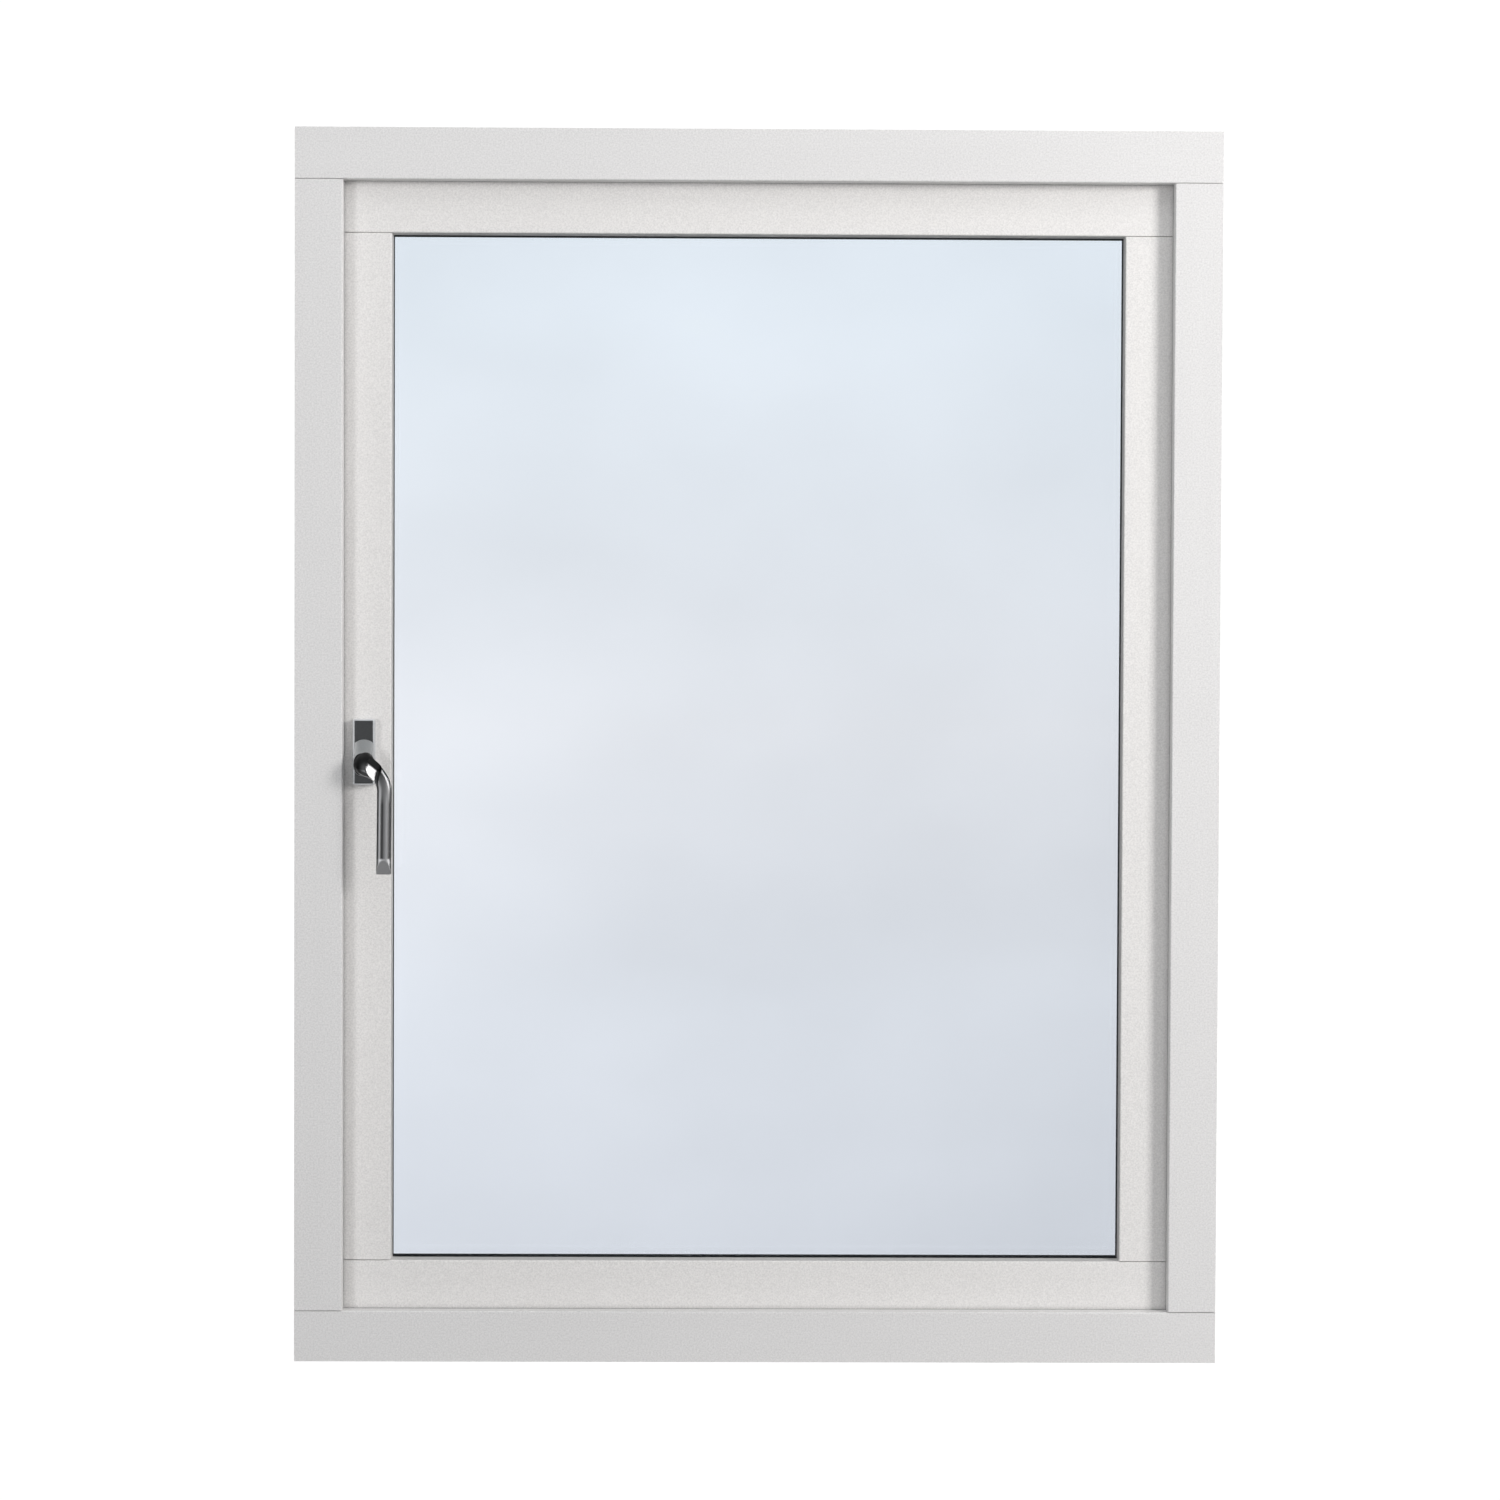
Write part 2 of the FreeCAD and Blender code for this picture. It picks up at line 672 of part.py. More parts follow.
# Handle.
collar_radius = 10.4
collar_front = plate_front - 10.0
head_radius = 11.0
lever_width = 14.0
lever_depth = 10.0
lever_y = plate_front - 27.0    # middle of the lever's thickness
lever_offset = 23.0         # lever's straight part, right of the turning axis
lever_end = 477.2
lever_lean = math.radians(40.0)
lever_shift = 3.2           # how far the leaning part passes above the turning axis
head_shift = 1.6            # and the middle of the head
lever_run = 11.0            # tangent length of the bend


def handle_screws():
    return [screw((handle_x, sash_front - 5.0, 618.5), (0, 1, 0), 21.0, 2.2, 4.0, 2.2)]


def handle_peg():
    return rod((handle_x, sash_front, 571.0), (0, 1, 0), 2.5, 4.5)


def handle_base():
    """Hidden plate that carries the spindle bush and the locating peg."""
    left, right = handle_x - plate_width / 2 + 1.7, handle_x + plate_width / 2 - 1.7
    plate = block(left, right, sash_front - 5.0, sash_front, plate_bottom + 1.7, plate_top - 1.7)
    bush = rod((handle_x, sash_front - 5.0, handle_z), (0, -1, 0), 7.6, 13.0)
    bore = rod((handle_x, collar_front - 20.0, handle_z), (0, 1, 0), 5.4, 80.0)
    return cut(fused(plate, bush, handle_peg()), [bore] + handle_screws())


def handle_rose():
    """Cover plate with the raised collar, sloped away on its upper side."""
    left, right = handle_x - plate_width / 2, handle_x + plate_width / 2
    plate = block(left, right, plate_front, sash_front, plate_bottom, plate_top)

    def upright(p):
        at_side = min(abs(p.x - left), abs(p.x - right)) < 0.01
        return at_side and min(p.z - plate_bottom, plate_top - p.z) < 0.01

    plate = rounded(plate, 2.0, upright)
    plate = plate.makeChamfer(1.2, [e for e in plate.Edges if e.BoundBox.YMax < plate_front + 0.01])
    collar = rod((handle_x, plate_front + 1.0, handle_z), (0, -1, 0), collar_radius, 11.0)
    top = handle_z + 24.0
    slope = [
        (handle_x - 12.0, plate_front + 1.0, handle_z),
        (handle_x - 12.0, plate_front + 1.0, top),
        (handle_x - 12.0, plate_front, top),
        (handle_x - 12.0, collar_front, handle_z + 9.0),
        (handle_x - 12.0, collar_front, handle_z),
    ]
    wedge = prism(slope, (24.0, 0, 0))
    stem = block(
        handle_x - collar_radius, handle_x + collar_radius, collar_front, plate_front + 1.0,
        handle_z, top - collar_radius,
    )
    arch = rod((handle_x, collar_front, top - collar_radius), (0, 1, 0), collar_radius, 11.0)
    fairing = wedge.common(stem.fuse(arch))
    hollow = block(
        left + 1.7, right - 1.7, plate_front + 2.0, sash_front, plate_bottom + 1.7, plate_top - 1.7
    )
    bore = rod((handle_x, collar_front - 20.0, handle_z), (0, 1, 0), 7.6, 50.0)
    return cut(fused(plate, collar, fairing), [hollow, bore])


def across_lean(distance):
    """Point in the middle of the lever's thickness, that far from the axis across the lean."""
    side = vec(math.sin(lever_lean), 0, math.cos(lever_lean))
    return vec(handle_x, lever_y, handle_z) + side * distance


def lever_path():
    """Centre line of the lever: out along the lean, round a bend, then straight down."""
    out = vec(math.cos(lever_lean), 0, -math.sin(lever_lean))
    start = across_lean(lever_shift)
    corner = start + out * ((handle_x + lever_offset - start.x) / out.x)
    bend_start = corner - out * lever_run
    bend_end = corner - vec(0, 0, lever_run)
    turn = math.pi / 2 - lever_lean
    radius = lever_run / math.tan(turn / 2)
    inner = vec(-math.sin(lever_lean), 0, -math.cos(lever_lean))
    centre = bend_start + inner * radius
    middle = corner - centre
    middle.normalize()
    bend = Part.Arc(bend_start, centre + middle * radius, bend_end).toShape()
    first = Part.LineSegment(start, bend_start).toShape()
    last = Part.LineSegment(bend_end, vec(bend_end.x, lever_y, lever_end)).toShape()
    return Part.Wire([first, bend, last])


def lever_section():
    """Rounded rectangle across the start of the lever."""
    deep = vec(0, 1, 0)
    a, b, r = lever_width / 2, lever_depth / 2, 3.6
    k = r * (1 - math.sqrt(0.5))

    def at(u, v):
        return across_lean(lever_shift + u) + deep * v

    edges = []
    for su, sv, flip in ((1, 1, False), (-1, 1, True), (-1, -1, False), (1, -1, True)):
        ends = [at(su * a, sv * (b - r)), at(su * (a - r), sv * b)]
        if flip:
            ends.reverse()
        edges.append(Part.Arc(ends[0], at(su * (a - k), sv * (b - k)), ends[1]).toShape())
    joined = []
    for n, arc in enumerate(edges):
        after = edges[(n + 1) % 4]
        joined += [arc, Part.LineSegment(arc.valueAt(arc.LastParameter),
                                         after.valueAt(after.FirstParameter)).toShape()]
    return Part.Wire(joined)


def handle_lever():
    shaft = lever_path().makePipeShell([lever_section()], True, False)
    head_front, head_back = lever_y - lever_depth / 2, collar_front - 0.4
    middle = across_lean(head_shift)
    head = rod((middle.x, head_front, middle.z), (0, 1, 0), head_radius, head_back - head_front)
    head = rounded(head, 2.5, lambda p: abs(p.y - head_front) < 0.01)
    tip_x = handle_x + lever_offset
    bevel = prism(
        [
            (tip_x - 10.0, lever_y - lever_depth / 2, lever_end + 14.0),
            (tip_x - 10.0, lever_y - lever_depth / 2, lever_end),
            (tip_x - 10.0, lever_y - lever_depth / 2 + 3.0, lever_end),
        ],
        (20.0, 0, 0),
    )
    socket = square_bar(collar_front - 12.0, sash_front)
    return cut(fused(shaft, head), [bevel, socket])


def make_handle():
    save("handle_base", handle_base())
    save("handle_screw", *driven(handle_screws(), 4.0))
    save("handle_rose", handle_rose())
    save("handle_lever", handle_lever())
    save("handle_spindle", square_bar(collar_front - 12.0, cover_front - 0.3))


# Assembly.
def make_frame():
    fixings = corner_screws()
    leaf_holes, keep_holes = [], []
    for level in hinge_levels:
        leaf_holes += frame_leaf_screws(level)
    for level in cam_levels:
        keep_holes += keep_screws(level)
    save("frame_head", frame_head(fixings))
    save("frame_sill", frame_sill(fixings))
    save("frame_jamb_left", frame_jamb(-1, fixings + keep_holes))
    save("frame_jamb_right", frame_jamb(1, fixings + leaf_holes))
    save("frame_corner_screws", *driven(fixings, 5.5))
    make_frame_seals()


def make_sash():
    beads = bead_screws()
    leaf_holes = []
    for level in hinge_levels:
        leaf_holes += sash_leaf_screws(level)
    save("sash_stile_left", sash_stile(-1, lock_pocket() + beads))
    save("sash_stile_right", sash_stile(1, beads + leaf_holes))
    top = (light_top, sash_top, light_top, flange_top, light_top, 1)
    bottom = (sash_bottom, light_bottom, flange_bottom, light_bottom, light_bottom, -1)
    save("sash_rail_top", sash_rail(*top, beads))
    save("sash_rail_bottom", sash_rail(*bottom, beads + drip_bar_screws()))
    make_sash_trim()


make_frame()
make_sash()
make_glazing()
make_hinges()
make_lock()
make_handle()
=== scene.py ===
import functools
import json
import math

import bmesh
import bpy
import numpy as np
from mathutils import Matrix, Vector


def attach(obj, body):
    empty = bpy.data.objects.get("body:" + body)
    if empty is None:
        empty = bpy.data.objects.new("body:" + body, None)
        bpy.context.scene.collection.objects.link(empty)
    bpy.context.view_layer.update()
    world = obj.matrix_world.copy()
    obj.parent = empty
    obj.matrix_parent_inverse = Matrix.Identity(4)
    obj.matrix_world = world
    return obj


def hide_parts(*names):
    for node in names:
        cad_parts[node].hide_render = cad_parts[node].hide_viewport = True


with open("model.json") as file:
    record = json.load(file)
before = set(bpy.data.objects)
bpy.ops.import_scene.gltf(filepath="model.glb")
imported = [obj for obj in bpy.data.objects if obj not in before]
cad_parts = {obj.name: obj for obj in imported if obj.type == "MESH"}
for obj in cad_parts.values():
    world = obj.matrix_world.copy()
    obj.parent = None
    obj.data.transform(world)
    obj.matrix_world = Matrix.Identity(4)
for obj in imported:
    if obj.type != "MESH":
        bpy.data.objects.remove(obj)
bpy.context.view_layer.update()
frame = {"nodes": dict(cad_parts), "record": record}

# A casement window seen from the room: painted timber, a double pane and a satin chrome lever handle.
# The frame is in metres, +X right, +Y outdoors, +Z up; the handle's shapes are worked out in mm.

nodes = frame["nodes"]
mm = 0.001
sashFace = -18.0     # Y of the sash's inner face, in mm
middling = (0.3, 0.7)  # where most of a noise's values lie

# Camera and stage.

cameraLook = {
    "place": (-0.0382, -3.1895, 0.6725),
    "yaw": 0.0098,       # radians to the right of +Y
    "pitch": -0.0235,    # radians above level
    "roll": 0.0040,
    "lens": 77.85,       # focal length and sensor width, in mm
    "sensor": 36.0,
}


def addCamera(look):
    # the forward vector comes from yaw and pitch; right and up are then turned by roll about it
    cosYaw, sinYaw = math.cos(look["yaw"]), math.sin(look["yaw"])
    cosPitch, sinPitch = math.cos(look["pitch"]), math.sin(look["pitch"])
    forward = Vector((sinYaw * cosPitch, cosYaw * cosPitch, sinPitch))
    level = Vector((cosYaw, -sinYaw, 0.0))
    above = level.cross(forward)
    right = level * math.cos(look["roll"]) + above * math.sin(look["roll"])
    up = above * math.cos(look["roll"]) - level * math.sin(look["roll"])
    camera = bpy.data.objects.new("camera", bpy.data.cameras.new("camera"))
    camera.data.lens = look["lens"]
    camera.data.sensor_width = look["sensor"]
    turn = Matrix((right, up, -forward)).transposed().to_4x4()
    camera.matrix_world = Matrix.Translation(look["place"]) @ turn
    bpy.context.scene.collection.objects.link(camera)
    bpy.context.scene.camera = camera


lightLook = {
    # name: place, size, power in watts, colour, seen in polished metal or not
    "softRight": ((2.3, -1.9, 1.5), (0.75, 1.1), 57.0, (1.0, 0.985, 0.975), True),
    "softLeft": ((-2.45, -3.15, 1.0), (1.0, 1.4), 37.0, (0.99, 0.99, 1.0), True),
    "softTop": ((0.2, -1.4, 3.0), (2.0, 1.2), 14.0, (1.0, 1.0, 1.0), False),
    "softBack": ((0.6, 3.2, 1.6), (2.0, 1.6), 50.0, (1.0, 1.0, 1.0), False),
}
aimPoint = Vector((0.0, 0.0, 0.62))  # the window's middle


def addLights(look):
    # a soft rectangle of light at each place, turned along the line from it to the aim point
    for name, (place, size, power, colour, inMetal) in look.items():
        data = bpy.data.lights.new(name, "AREA")
        data.shape = "RECTANGLE"
        data.size, data.size_y = size
        data.energy = power
        data.color = colour
        light = bpy.data.objects.new(name, data)
        light.location = place
        light.rotation_euler = (aimPoint - Vector(place)).to_track_quat("-Z", "Y").to_euler()
        light.visible_camera = False
        light.visible_transmission = False
        light.visible_glossy = inMetal
        bpy.context.scene.collection.objects.link(light)


worldLook = {
    "seen": ((1.0, 1.0, 1.0), 1.05),        # colour and strength where it is looked at
    "fill": ((0.93, 0.97, 1.0), 0.26),      # what lights everything else
    "mirrored": ((0.8, 0.95, 1.0), 0.085),  # what shows in polished metal
}


def lookedAt(tree):
    # two switches: the first is one for a straight look, or a look through glass that was never
    # mirrored on the way, and the second is one for every ray that was never mirrored
    rays = tree.nodes.new("ShaderNodeLightPath")
    direct = combine(tree, "LESS_THAN", rays.outputs["Glossy Depth"], 0.5)
    through = times(tree, rays.outputs["Is Transmission Ray"], direct)
    return combine(tree, "MAXIMUM", rays.outputs["Is Camera Ray"], through), direct


def addWorld(look):
    # white where it is looked at, dim in mirrors, and a soft fill for everything else
    world = bpy.data.worlds.new("studio")
    bpy.context.scene.world = world
    world.use_nodes = True
    tree = world.node_tree
    tree.nodes.clear()
    shades = {}
    for name, (colour, strength) in look.items():
        shades[name] = tree.nodes.new("ShaderNodeBackground")
        shades[name].inputs["Color"].default_value = (*colour, 1.0)
        shades[name].inputs["Strength"].default_value = strength
    seen, direct = lookedAt(tree)
    unseen = tree.nodes.new("ShaderNodeMixShader")
    tree.links.new(direct, unseen.inputs[0])
    tree.links.new(shades["mirrored"].outputs[0], unseen.inputs[1])
    tree.links.new(shades["fill"].outputs[0], unseen.inputs[2])
    either = tree.nodes.new("ShaderNodeMixShader")
    tree.links.new(seen, either.inputs[0])
    tree.links.new(unseen.outputs[0], either.inputs[1])
    tree.links.new(shades["seen"].outputs[0], either.inputs[2])
    out = tree.nodes.new("ShaderNodeOutputWorld")
    tree.links.new(either.outputs[0], out.inputs["Surface"])


floorLook = {
    "half": 12.0,        # half its side, in metres
    "drop": 0.0005,      # how far it lies under the frame
    "roughness": 0.9,
    "bounce": 0.5,       # how pale the floor is to the light that falls on it
    "glow": 1.05,        # how bright it is where it is looked at
    "mirrored": 0.08,    # and where it shows in metal or in the face of the glass
}


def addFloor(look):
    # a flat square just under the frame: it bounces light, glows evenly where it is looked at,
    # and is dim in mirrors
    half, z = look["half"], -look["drop"]
    mesh = bpy.data.meshes.new("floor")
    corners = [(-half, -half, z), (half, -half, z), (half, half, z), (-half, half, z)]
    mesh.from_pydata(corners, [], [(0, 1, 2, 3)])
    floor = bpy.data.objects.new("floor", mesh)
    bpy.context.scene.collection.objects.link(floor)
    material, tree, shader = newMaterial("floorPale")
    shader.inputs["Roughness"].default_value = look["roughness"]
    shader.inputs["Emission Color"].default_value = (1.0, 1.0, 1.0, 1.0)
    shader.inputs["Specular IOR Level"].default_value = 0.0
    seen, direct = lookedAt(tree)
    lit = combine(tree, "SUBTRACT", direct, seen)
    tree.links.new(spread(tree, lit, 0.0, look["bounce"]), shader.inputs["Base Color"])
    inMirror = spread(tree, direct, look["mirrored"], 0.0)
    glow = plus(tree, spread(tree, seen, 0.0, look["glow"]), inMirror)
    tree.links.new(glow, shader.inputs["Emission Strength"])
    mesh.materials.append(material)


# Material helpers.

def newMaterial(name):
    # an empty node material with its one principled shader
    material = bpy.data.materials.new(name)
    material.use_nodes = True
    tree = material.node_tree
    return material, tree, tree.nodes["Principled BSDF"]


def objectPoints(tree, stretch=(1.0, 1.0, 1.0)):
    # object coordinates, stretched along the axes
    place = tree.nodes.new("ShaderNodeTexCoord")
    mapping = tree.nodes.new("ShaderNodeMapping")
    mapping.inputs["Scale"].default_value = stretch
    tree.links.new(place.outputs["Object"], mapping.inputs["Vector"])
    return mapping.outputs["Vector"]


def noise(tree, points, scale, detail=2.0, roughness=0.5):
    # smooth noise between zero and one, with so many cells in a metre
    node = tree.nodes.new("ShaderNodeTexNoise")
    node.inputs["Scale"].default_value = scale
    node.inputs["Detail"].default_value = detail
    node.inputs["Roughness"].default_value = roughness
    tree.links.new(points, node.inputs["Vector"])
    return node.outputs["Fac"]


def spread(tree, value, low, high, fromLow=0.0, fromHigh=1.0):
    # a straight map of a value from one range to another
    node = tree.nodes.new("ShaderNodeMapRange")
    node.inputs["From Min"].default_value = fromLow
    node.inputs["From Max"].default_value = fromHigh
    node.inputs["To Min"].default_value = low
    node.inputs["To Max"].default_value = high
    tree.links.new(value, node.inputs["Value"])
    return node.outputs["Result"]


def combine(tree, operation, first, second):
    # one sum, product or other operation of two values, either of which may be a plain number
    node = tree.nodes.new("ShaderNodeMath")
    node.operation = operation
    for socket, value in zip(node.inputs, (first, second)):
        if isinstance(value, float):
            socket.default_value = value
        else:
            tree.links.new(value, socket)
    return node.outputs[0]


def times(tree, *values):
    # the product of all the values
    return functools.reduce(lambda first, second: combine(tree, "MULTIPLY", first, second), values)


def plus(tree, *values):
    # the sum of all the values
    return functools.reduce(lambda first, second: combine(tree, "ADD", first, second), values)


def sway(tree, value, reach):
    # a noise turned into a change of at most reach, up or down
    return spread(tree, value, -reach, reach, *middling)


def dot(tree, vector, direction):
    # the share of a vector that lies along a direction
    node = tree.nodes.new("ShaderNodeVectorMath")
    node.operation = "DOT_PRODUCT"
    tree.links.new(vector, node.inputs[0])
    node.inputs[1].default_value = direction
    return node.outputs["Value"]


def axes(tree, vector):
    # the X, Y and Z of a vector, as the outputs of one node
    node = tree.nodes.new("ShaderNodeSeparateXYZ")
    tree.links.new(vector, node.inputs[0])
    return node.outputs


def facingAxes(tree):
    # the way the surface faces, in the piece's own axes
    return tree.nodes.new("ShaderNodeTexCoord").outputs["Normal"]


def greys(tones):
    # stops of a ramp from positions and tones
    return [(spot, (tone, tone, tone)) for spot, tone in tones]


def ramp(tree, value, stops):
    # colour by value, each stop a position and a colour
    node = tree.nodes.new("ShaderNodeValToRGB")
    elements = node.color_ramp.elements
    elements.remove(elements[1])
    elements[0].position = stops[0][0]
    elements[0].color = (*stops[0][1], 1.0)
    for position, colour in stops[1:]:
        elements.new(position).color = (*colour, 1.0)
    tree.links.new(value, node.inputs["Fac"])
    return node.outputs["Color"]


def addBump(tree, shader, height, strength, distance):
    # the surface rises by distance where the height is one
    bump = tree.nodes.new("ShaderNodeBump")
    bump.inputs["Strength"].default_value = strength
    bump.inputs["Distance"].default_value = distance
    tree.links.new(height, bump.inputs["Height"])
    tree.links.new(bump.outputs["Normal"], shader.inputs["Normal"])


def shade(colour, factor):
    # every channel times the factor
    return tuple(channel * factor for channel in colour)


# Paint.

paintLook = {
    "colour": (0.79, 0.78, 0.775),
    "mottle": 0.12,      # how much the fine speckle changes the colour
    "drift": 0.008,      # slow change over the member
    "driftGrain": 3.5,   # cells of the drift in a metre
    "streak": 0.006,     # marks along the member
    "streakGrain": 60.0,
    "grain": 600.0,      # spray grain, cells in a metre
    "peel": 330.0,       # orange peel, the same
    "roughness": (0.32, 0.42),
    "shine": 0.42,       # specular level
    "shares": (0.6, 0.4, 0.25),   # parts of the peel, the grain and the streaks in the bump
    "bump": (0.22, 0.00035),   # its strength and its height in metres
}

# the sash is a little lighter and warmer than the frame
sashPaintLook = dict(paintLook, colour=(0.83, 0.813, 0.798))


def paintMaterial(name, look, stretch):
    # sprayed satin paint: a fine speckle over a slow drift, with orange peel in the bump
    material, tree, shader = newMaterial(name)
    points = objectPoints(tree)
    speckle = noise(tree, points, look["grain"], 3.0, 0.65)
    drift = noise(tree, points, look["driftGrain"], 2.0)
    streak = noise(tree, objectPoints(tree, stretch), look["streakGrain"], 3.0)
    mixed = plus(tree, sway(tree, speckle, look["mottle"]), sway(tree, drift, look["drift"]),
                 sway(tree, streak, look["streak"]))
    swing = 0.2
    stops = [(0.0, shade(look["colour"], 1.0 - swing)), (1.0, shade(look["colour"], 1.0 + swing))]
    tint = ramp(tree, spread(tree, mixed, 0.0, 1.0, -swing, swing), stops)
    tree.links.new(tint, shader.inputs["Base Color"])
    tree.links.new(spread(tree, speckle, *look["roughness"], *middling), shader.inputs["Roughness"])
    peel = noise(tree, points, look["peel"], 2.0)
    layers = zip((peel, speckle, streak), look["shares"])
    height = plus(tree, *(times(tree, layer, share) for layer, share in layers))
    addBump(tree, shader, height, *look["bump"])
    shader.inputs["Specular IOR Level"].default_value = look["shine"]
    return material


# Rubber, plastic and sealant.

dullLook = {
    "wear": 18.0,            # cells of the mottle in a metre
    "tones": (0.75, 1.3),    # darkest and lightest share of the colour
    "uneven": 0.08,          # change of the roughness, up or down
    "bump": (0.15, 0.0002),
}


def dullMaterial(name, colour, roughness, grain):
    # moulded rubber or plastic: an even dark tone, faintly mottled and finely pitted
    look = dullLook
    material, tree, shader = newMaterial(name)
    points = objectPoints(tree)
    pits = noise(tree, points, grain, 4.0, 0.6)
    wear = noise(tree, points, look["wear"], 3.0)
    tone = plus(tree, times(tree, pits, 0.5), times(tree, wear, 0.5))
    stops = [(spot, shade(colour, share)) for spot, share in zip(middling, look["tones"])]
    tree.links.new(ramp(tree, tone, stops), shader.inputs["Base Color"])
    low, high = roughness - look["uneven"], roughness + look["uneven"]
    tree.links.new(spread(tree, wear, low, high, *middling), shader.inputs["Roughness"])
    addBump(tree, shader, pits, *look["bump"])
    return material


# Glass.

glassLook = {
    # height in metres and the pane's tint there, a painted reflection that is paler higher up
    "paintedReflectionTints": [(0.10, (0.842, 0.867, 0.907)), (0.35, (0.868, 0.893, 0.930)),
              (0.62, (0.897, 0.914, 0.943)), (1.05, (0.900, 0.940, 0.981))],
    "top": 1.2,          # height at the end of that scale
    "right": 0.07,       # how much darker the right edge is than the left, low down: painted shade
    "half": 0.36,        # half width of the pane
    "clear": (0.65, 1.05),   # heights between which that difference fades
    "paintedCloud": 0.03,       # how much the soft painted cloud reflections change the tint
    "paintedCloudGrain": 2.2,   # cells in a metre across
    "squash": (1.0, 1.0, 1.6),   # the painted cloud reflections are flatter than they are wide
    "haze": 0.012,       # the most that the face is hazed
    "hazeGrain": 9.0,
    "bend": 1.45,        # index of refraction
}


def glassMaterial(name, look):
    # a clear pane tinted by height as painted reflection, a little darker to the right as painted
    # shade, under soft painted cloud reflections
    material, tree, shader = newMaterial(name)
    points = objectPoints(tree, look["squash"])
    place = axes(tree, objectPoints(tree))
    stops = [(level / look["top"], colour) for level, colour in look["paintedReflectionTints"]]
    # painted reflection in the pane's colour: paler higher up, with soft painted cloud reflections over
    # it
    tint = ramp(tree, combine(tree, "DIVIDE", place["Z"], look["top"]), stops)
    paintedCloud = sway(tree, noise(tree, points, look["paintedCloudGrain"], 3.0, 0.45), look["paintedCloud"])
    # painted shade: the right edge is darker than the left, low down
    right = 0.5 * look["right"]
    across = spread(tree, place["X"], right, -right, -look["half"], look["half"])
    across = times(tree, across, spread(tree, place["Z"], 1.0, 0.0, *look["clear"]))
    scale = tree.nodes.new("ShaderNodeVectorMath")
    scale.operation = "SCALE"
    tree.links.new(tint, scale.inputs[0])
    tree.links.new(plus(tree, paintedCloud, across, 1.0), scale.inputs["Scale"])
    tree.links.new(scale.outputs[0], shader.inputs["Base Color"])
    haze = spread(tree, noise(tree, points, look["hazeGrain"], 2.0), 0.0, look["haze"], *middling)
    tree.links.new(haze, shader.inputs["Roughness"])
    shader.inputs["Transmission Weight"].default_value = 1.0
    shader.inputs["IOR"].default_value = look["bend"]
    return material


# Metals.

metalLook = {
    "streak": (900.0, 0.6),  # cells in a metre across the streaks, and their part in the tone
    "smudge": (45.0, 0.4),
    "tones": (0.86, 1.1),    # darkest and lightest share of the colour
    "gloss": (0.8, 1.25),    # least and most share of the roughness
    "bump": (0.08, 0.0001),
}


def metalMaterial(name, colour, roughness, stretch):
    # metal drawn or brushed one way: long fine streaks change its tone, its gloss and its surface
    look = metalLook
    material, tree, shader = newMaterial(name)
    streak = noise(tree, objectPoints(tree, stretch), look["streak"][0], 4.0, 0.6)
    smudge = noise(tree, objectPoints(tree), look["smudge"][0], 3.0)
    tone = plus(tree, times(tree, streak, look["streak"][1]), times(tree, smudge, look["smudge"][1]))
    stops = [(spot, shade(colour, share)) for spot, share in zip(middling, look["tones"])]
    tree.links.new(ramp(tree, tone, stops), shader.inputs["Base Color"])
    low, high = (roughness * share for share in look["gloss"])
    tree.links.new(spread(tree, tone, low, high, *middling), shader.inputs["Roughness"])
    shader.inputs["Metallic"].default_value = 1.0
    addBump(tree, shader, streak, *look["bump"])
    return material


# Handle: lever.

handleLook = {
    "axis": (-383.5, 583.5),   # X and Z of the turning axis, in mm
    "neckBack": sashFace - 20.7,   # where the neck leaves the collar, in Y
    "gripY": sashFace - 37.0,      # middle of the grip's thickness
    "elbow": 12.0,             # how far out the neck has turned into the grip
    "lean": math.radians(40.0),    # how far the head points below level
    "lift": (1.9, 3.2),        # how far above the axis the lean passes, at the head and at the bend
    "offset": 23.0,            # grip centre, right of the axis
    "drift": 0.7,              # how far the grip's end stands back to the left
    "run": 11.0,               # tangent length of the bend
    "end": 477.2,              # height of the grip's end
    "neck": (10.8, 8.4),       # half width and half depth of the neck
    "grip": (7.05, 4.9),       # and of the grip
    "taper": (24.0, 11.0),     # lengths over which the width and the depth change
    "foot": 0.82,              # size of the neck where it enters the collar
    "liftChange": (5.0, 11.0),   # where along the path it starts to grow, and over what length
    "footLift": (0.8, 3.5),    # share of the lift that the foot lacks, and the depth of the foot
    "footNarrow": 1.6,         # depth over which the foot narrows
    "square": (2.15, 0.25),    # power of the section at the neck, and what the grip adds to it
    "endRound": (0.7, 4),      # radius of the end's rounding, and the rows round it
    "tipSlope": (13.5, 3.4, 14.0),   # length and depth of the tip's planed facet, and its limit
    "sharp": 28.0,             # edges that turn by more degrees than this are sharp
    "rowsElbow": 48,
    "rowsGrip": 160,
    "around": 96,
}


def smooth(t):
    # zero below zero, one above one, and an even S between them
    t = np.clip(t, 0.0, 1.0)
    return t * t * (3.0 - 2.0 * t)


def leanAxes(look):
    # unit vectors along the lean and across it, in X and Z
    lean = look["lean"]
    return np.array([math.cos(lean), -math.sin(lean)]), np.array([math.sin(lean), math.cos(lean)])


def plainPath(look, count):
    # in the plane of the window: a line along the lean, an arc, then straight down
    run, lift = look["run"], look["lift"][1]
    along, above = leanAxes(look)
    cornerReach = (look["offset"] - lift * above[0]) / along[0]
    corner = cornerReach * along + lift * above
    turn = math.pi / 2 - look["lean"]
    radius = run / math.tan(turn / 2)
    first = cornerReach - run
    arc = radius * turn
    last = look["axis"][1] + corner[1] - run - look["end"]
    s = np.linspace(look["elbow"], first + arc + last, count)
    onArc = np.clip((s - first) / radius, 0.0, turn)
    ahead = np.minimum(s, first)[:, None] * along + lift * above
    bend = radius * (np.sin(onArc)[:, None] * along - (1 - np.cos(onArc))[:, None] * above)
    down = np.clip(s - first - arc, 0.0, None)
    straight = np.stack([-look["drift"] * down / last, -down], -1)
    return ahead + bend + straight, -look["lean"] - onArc, s


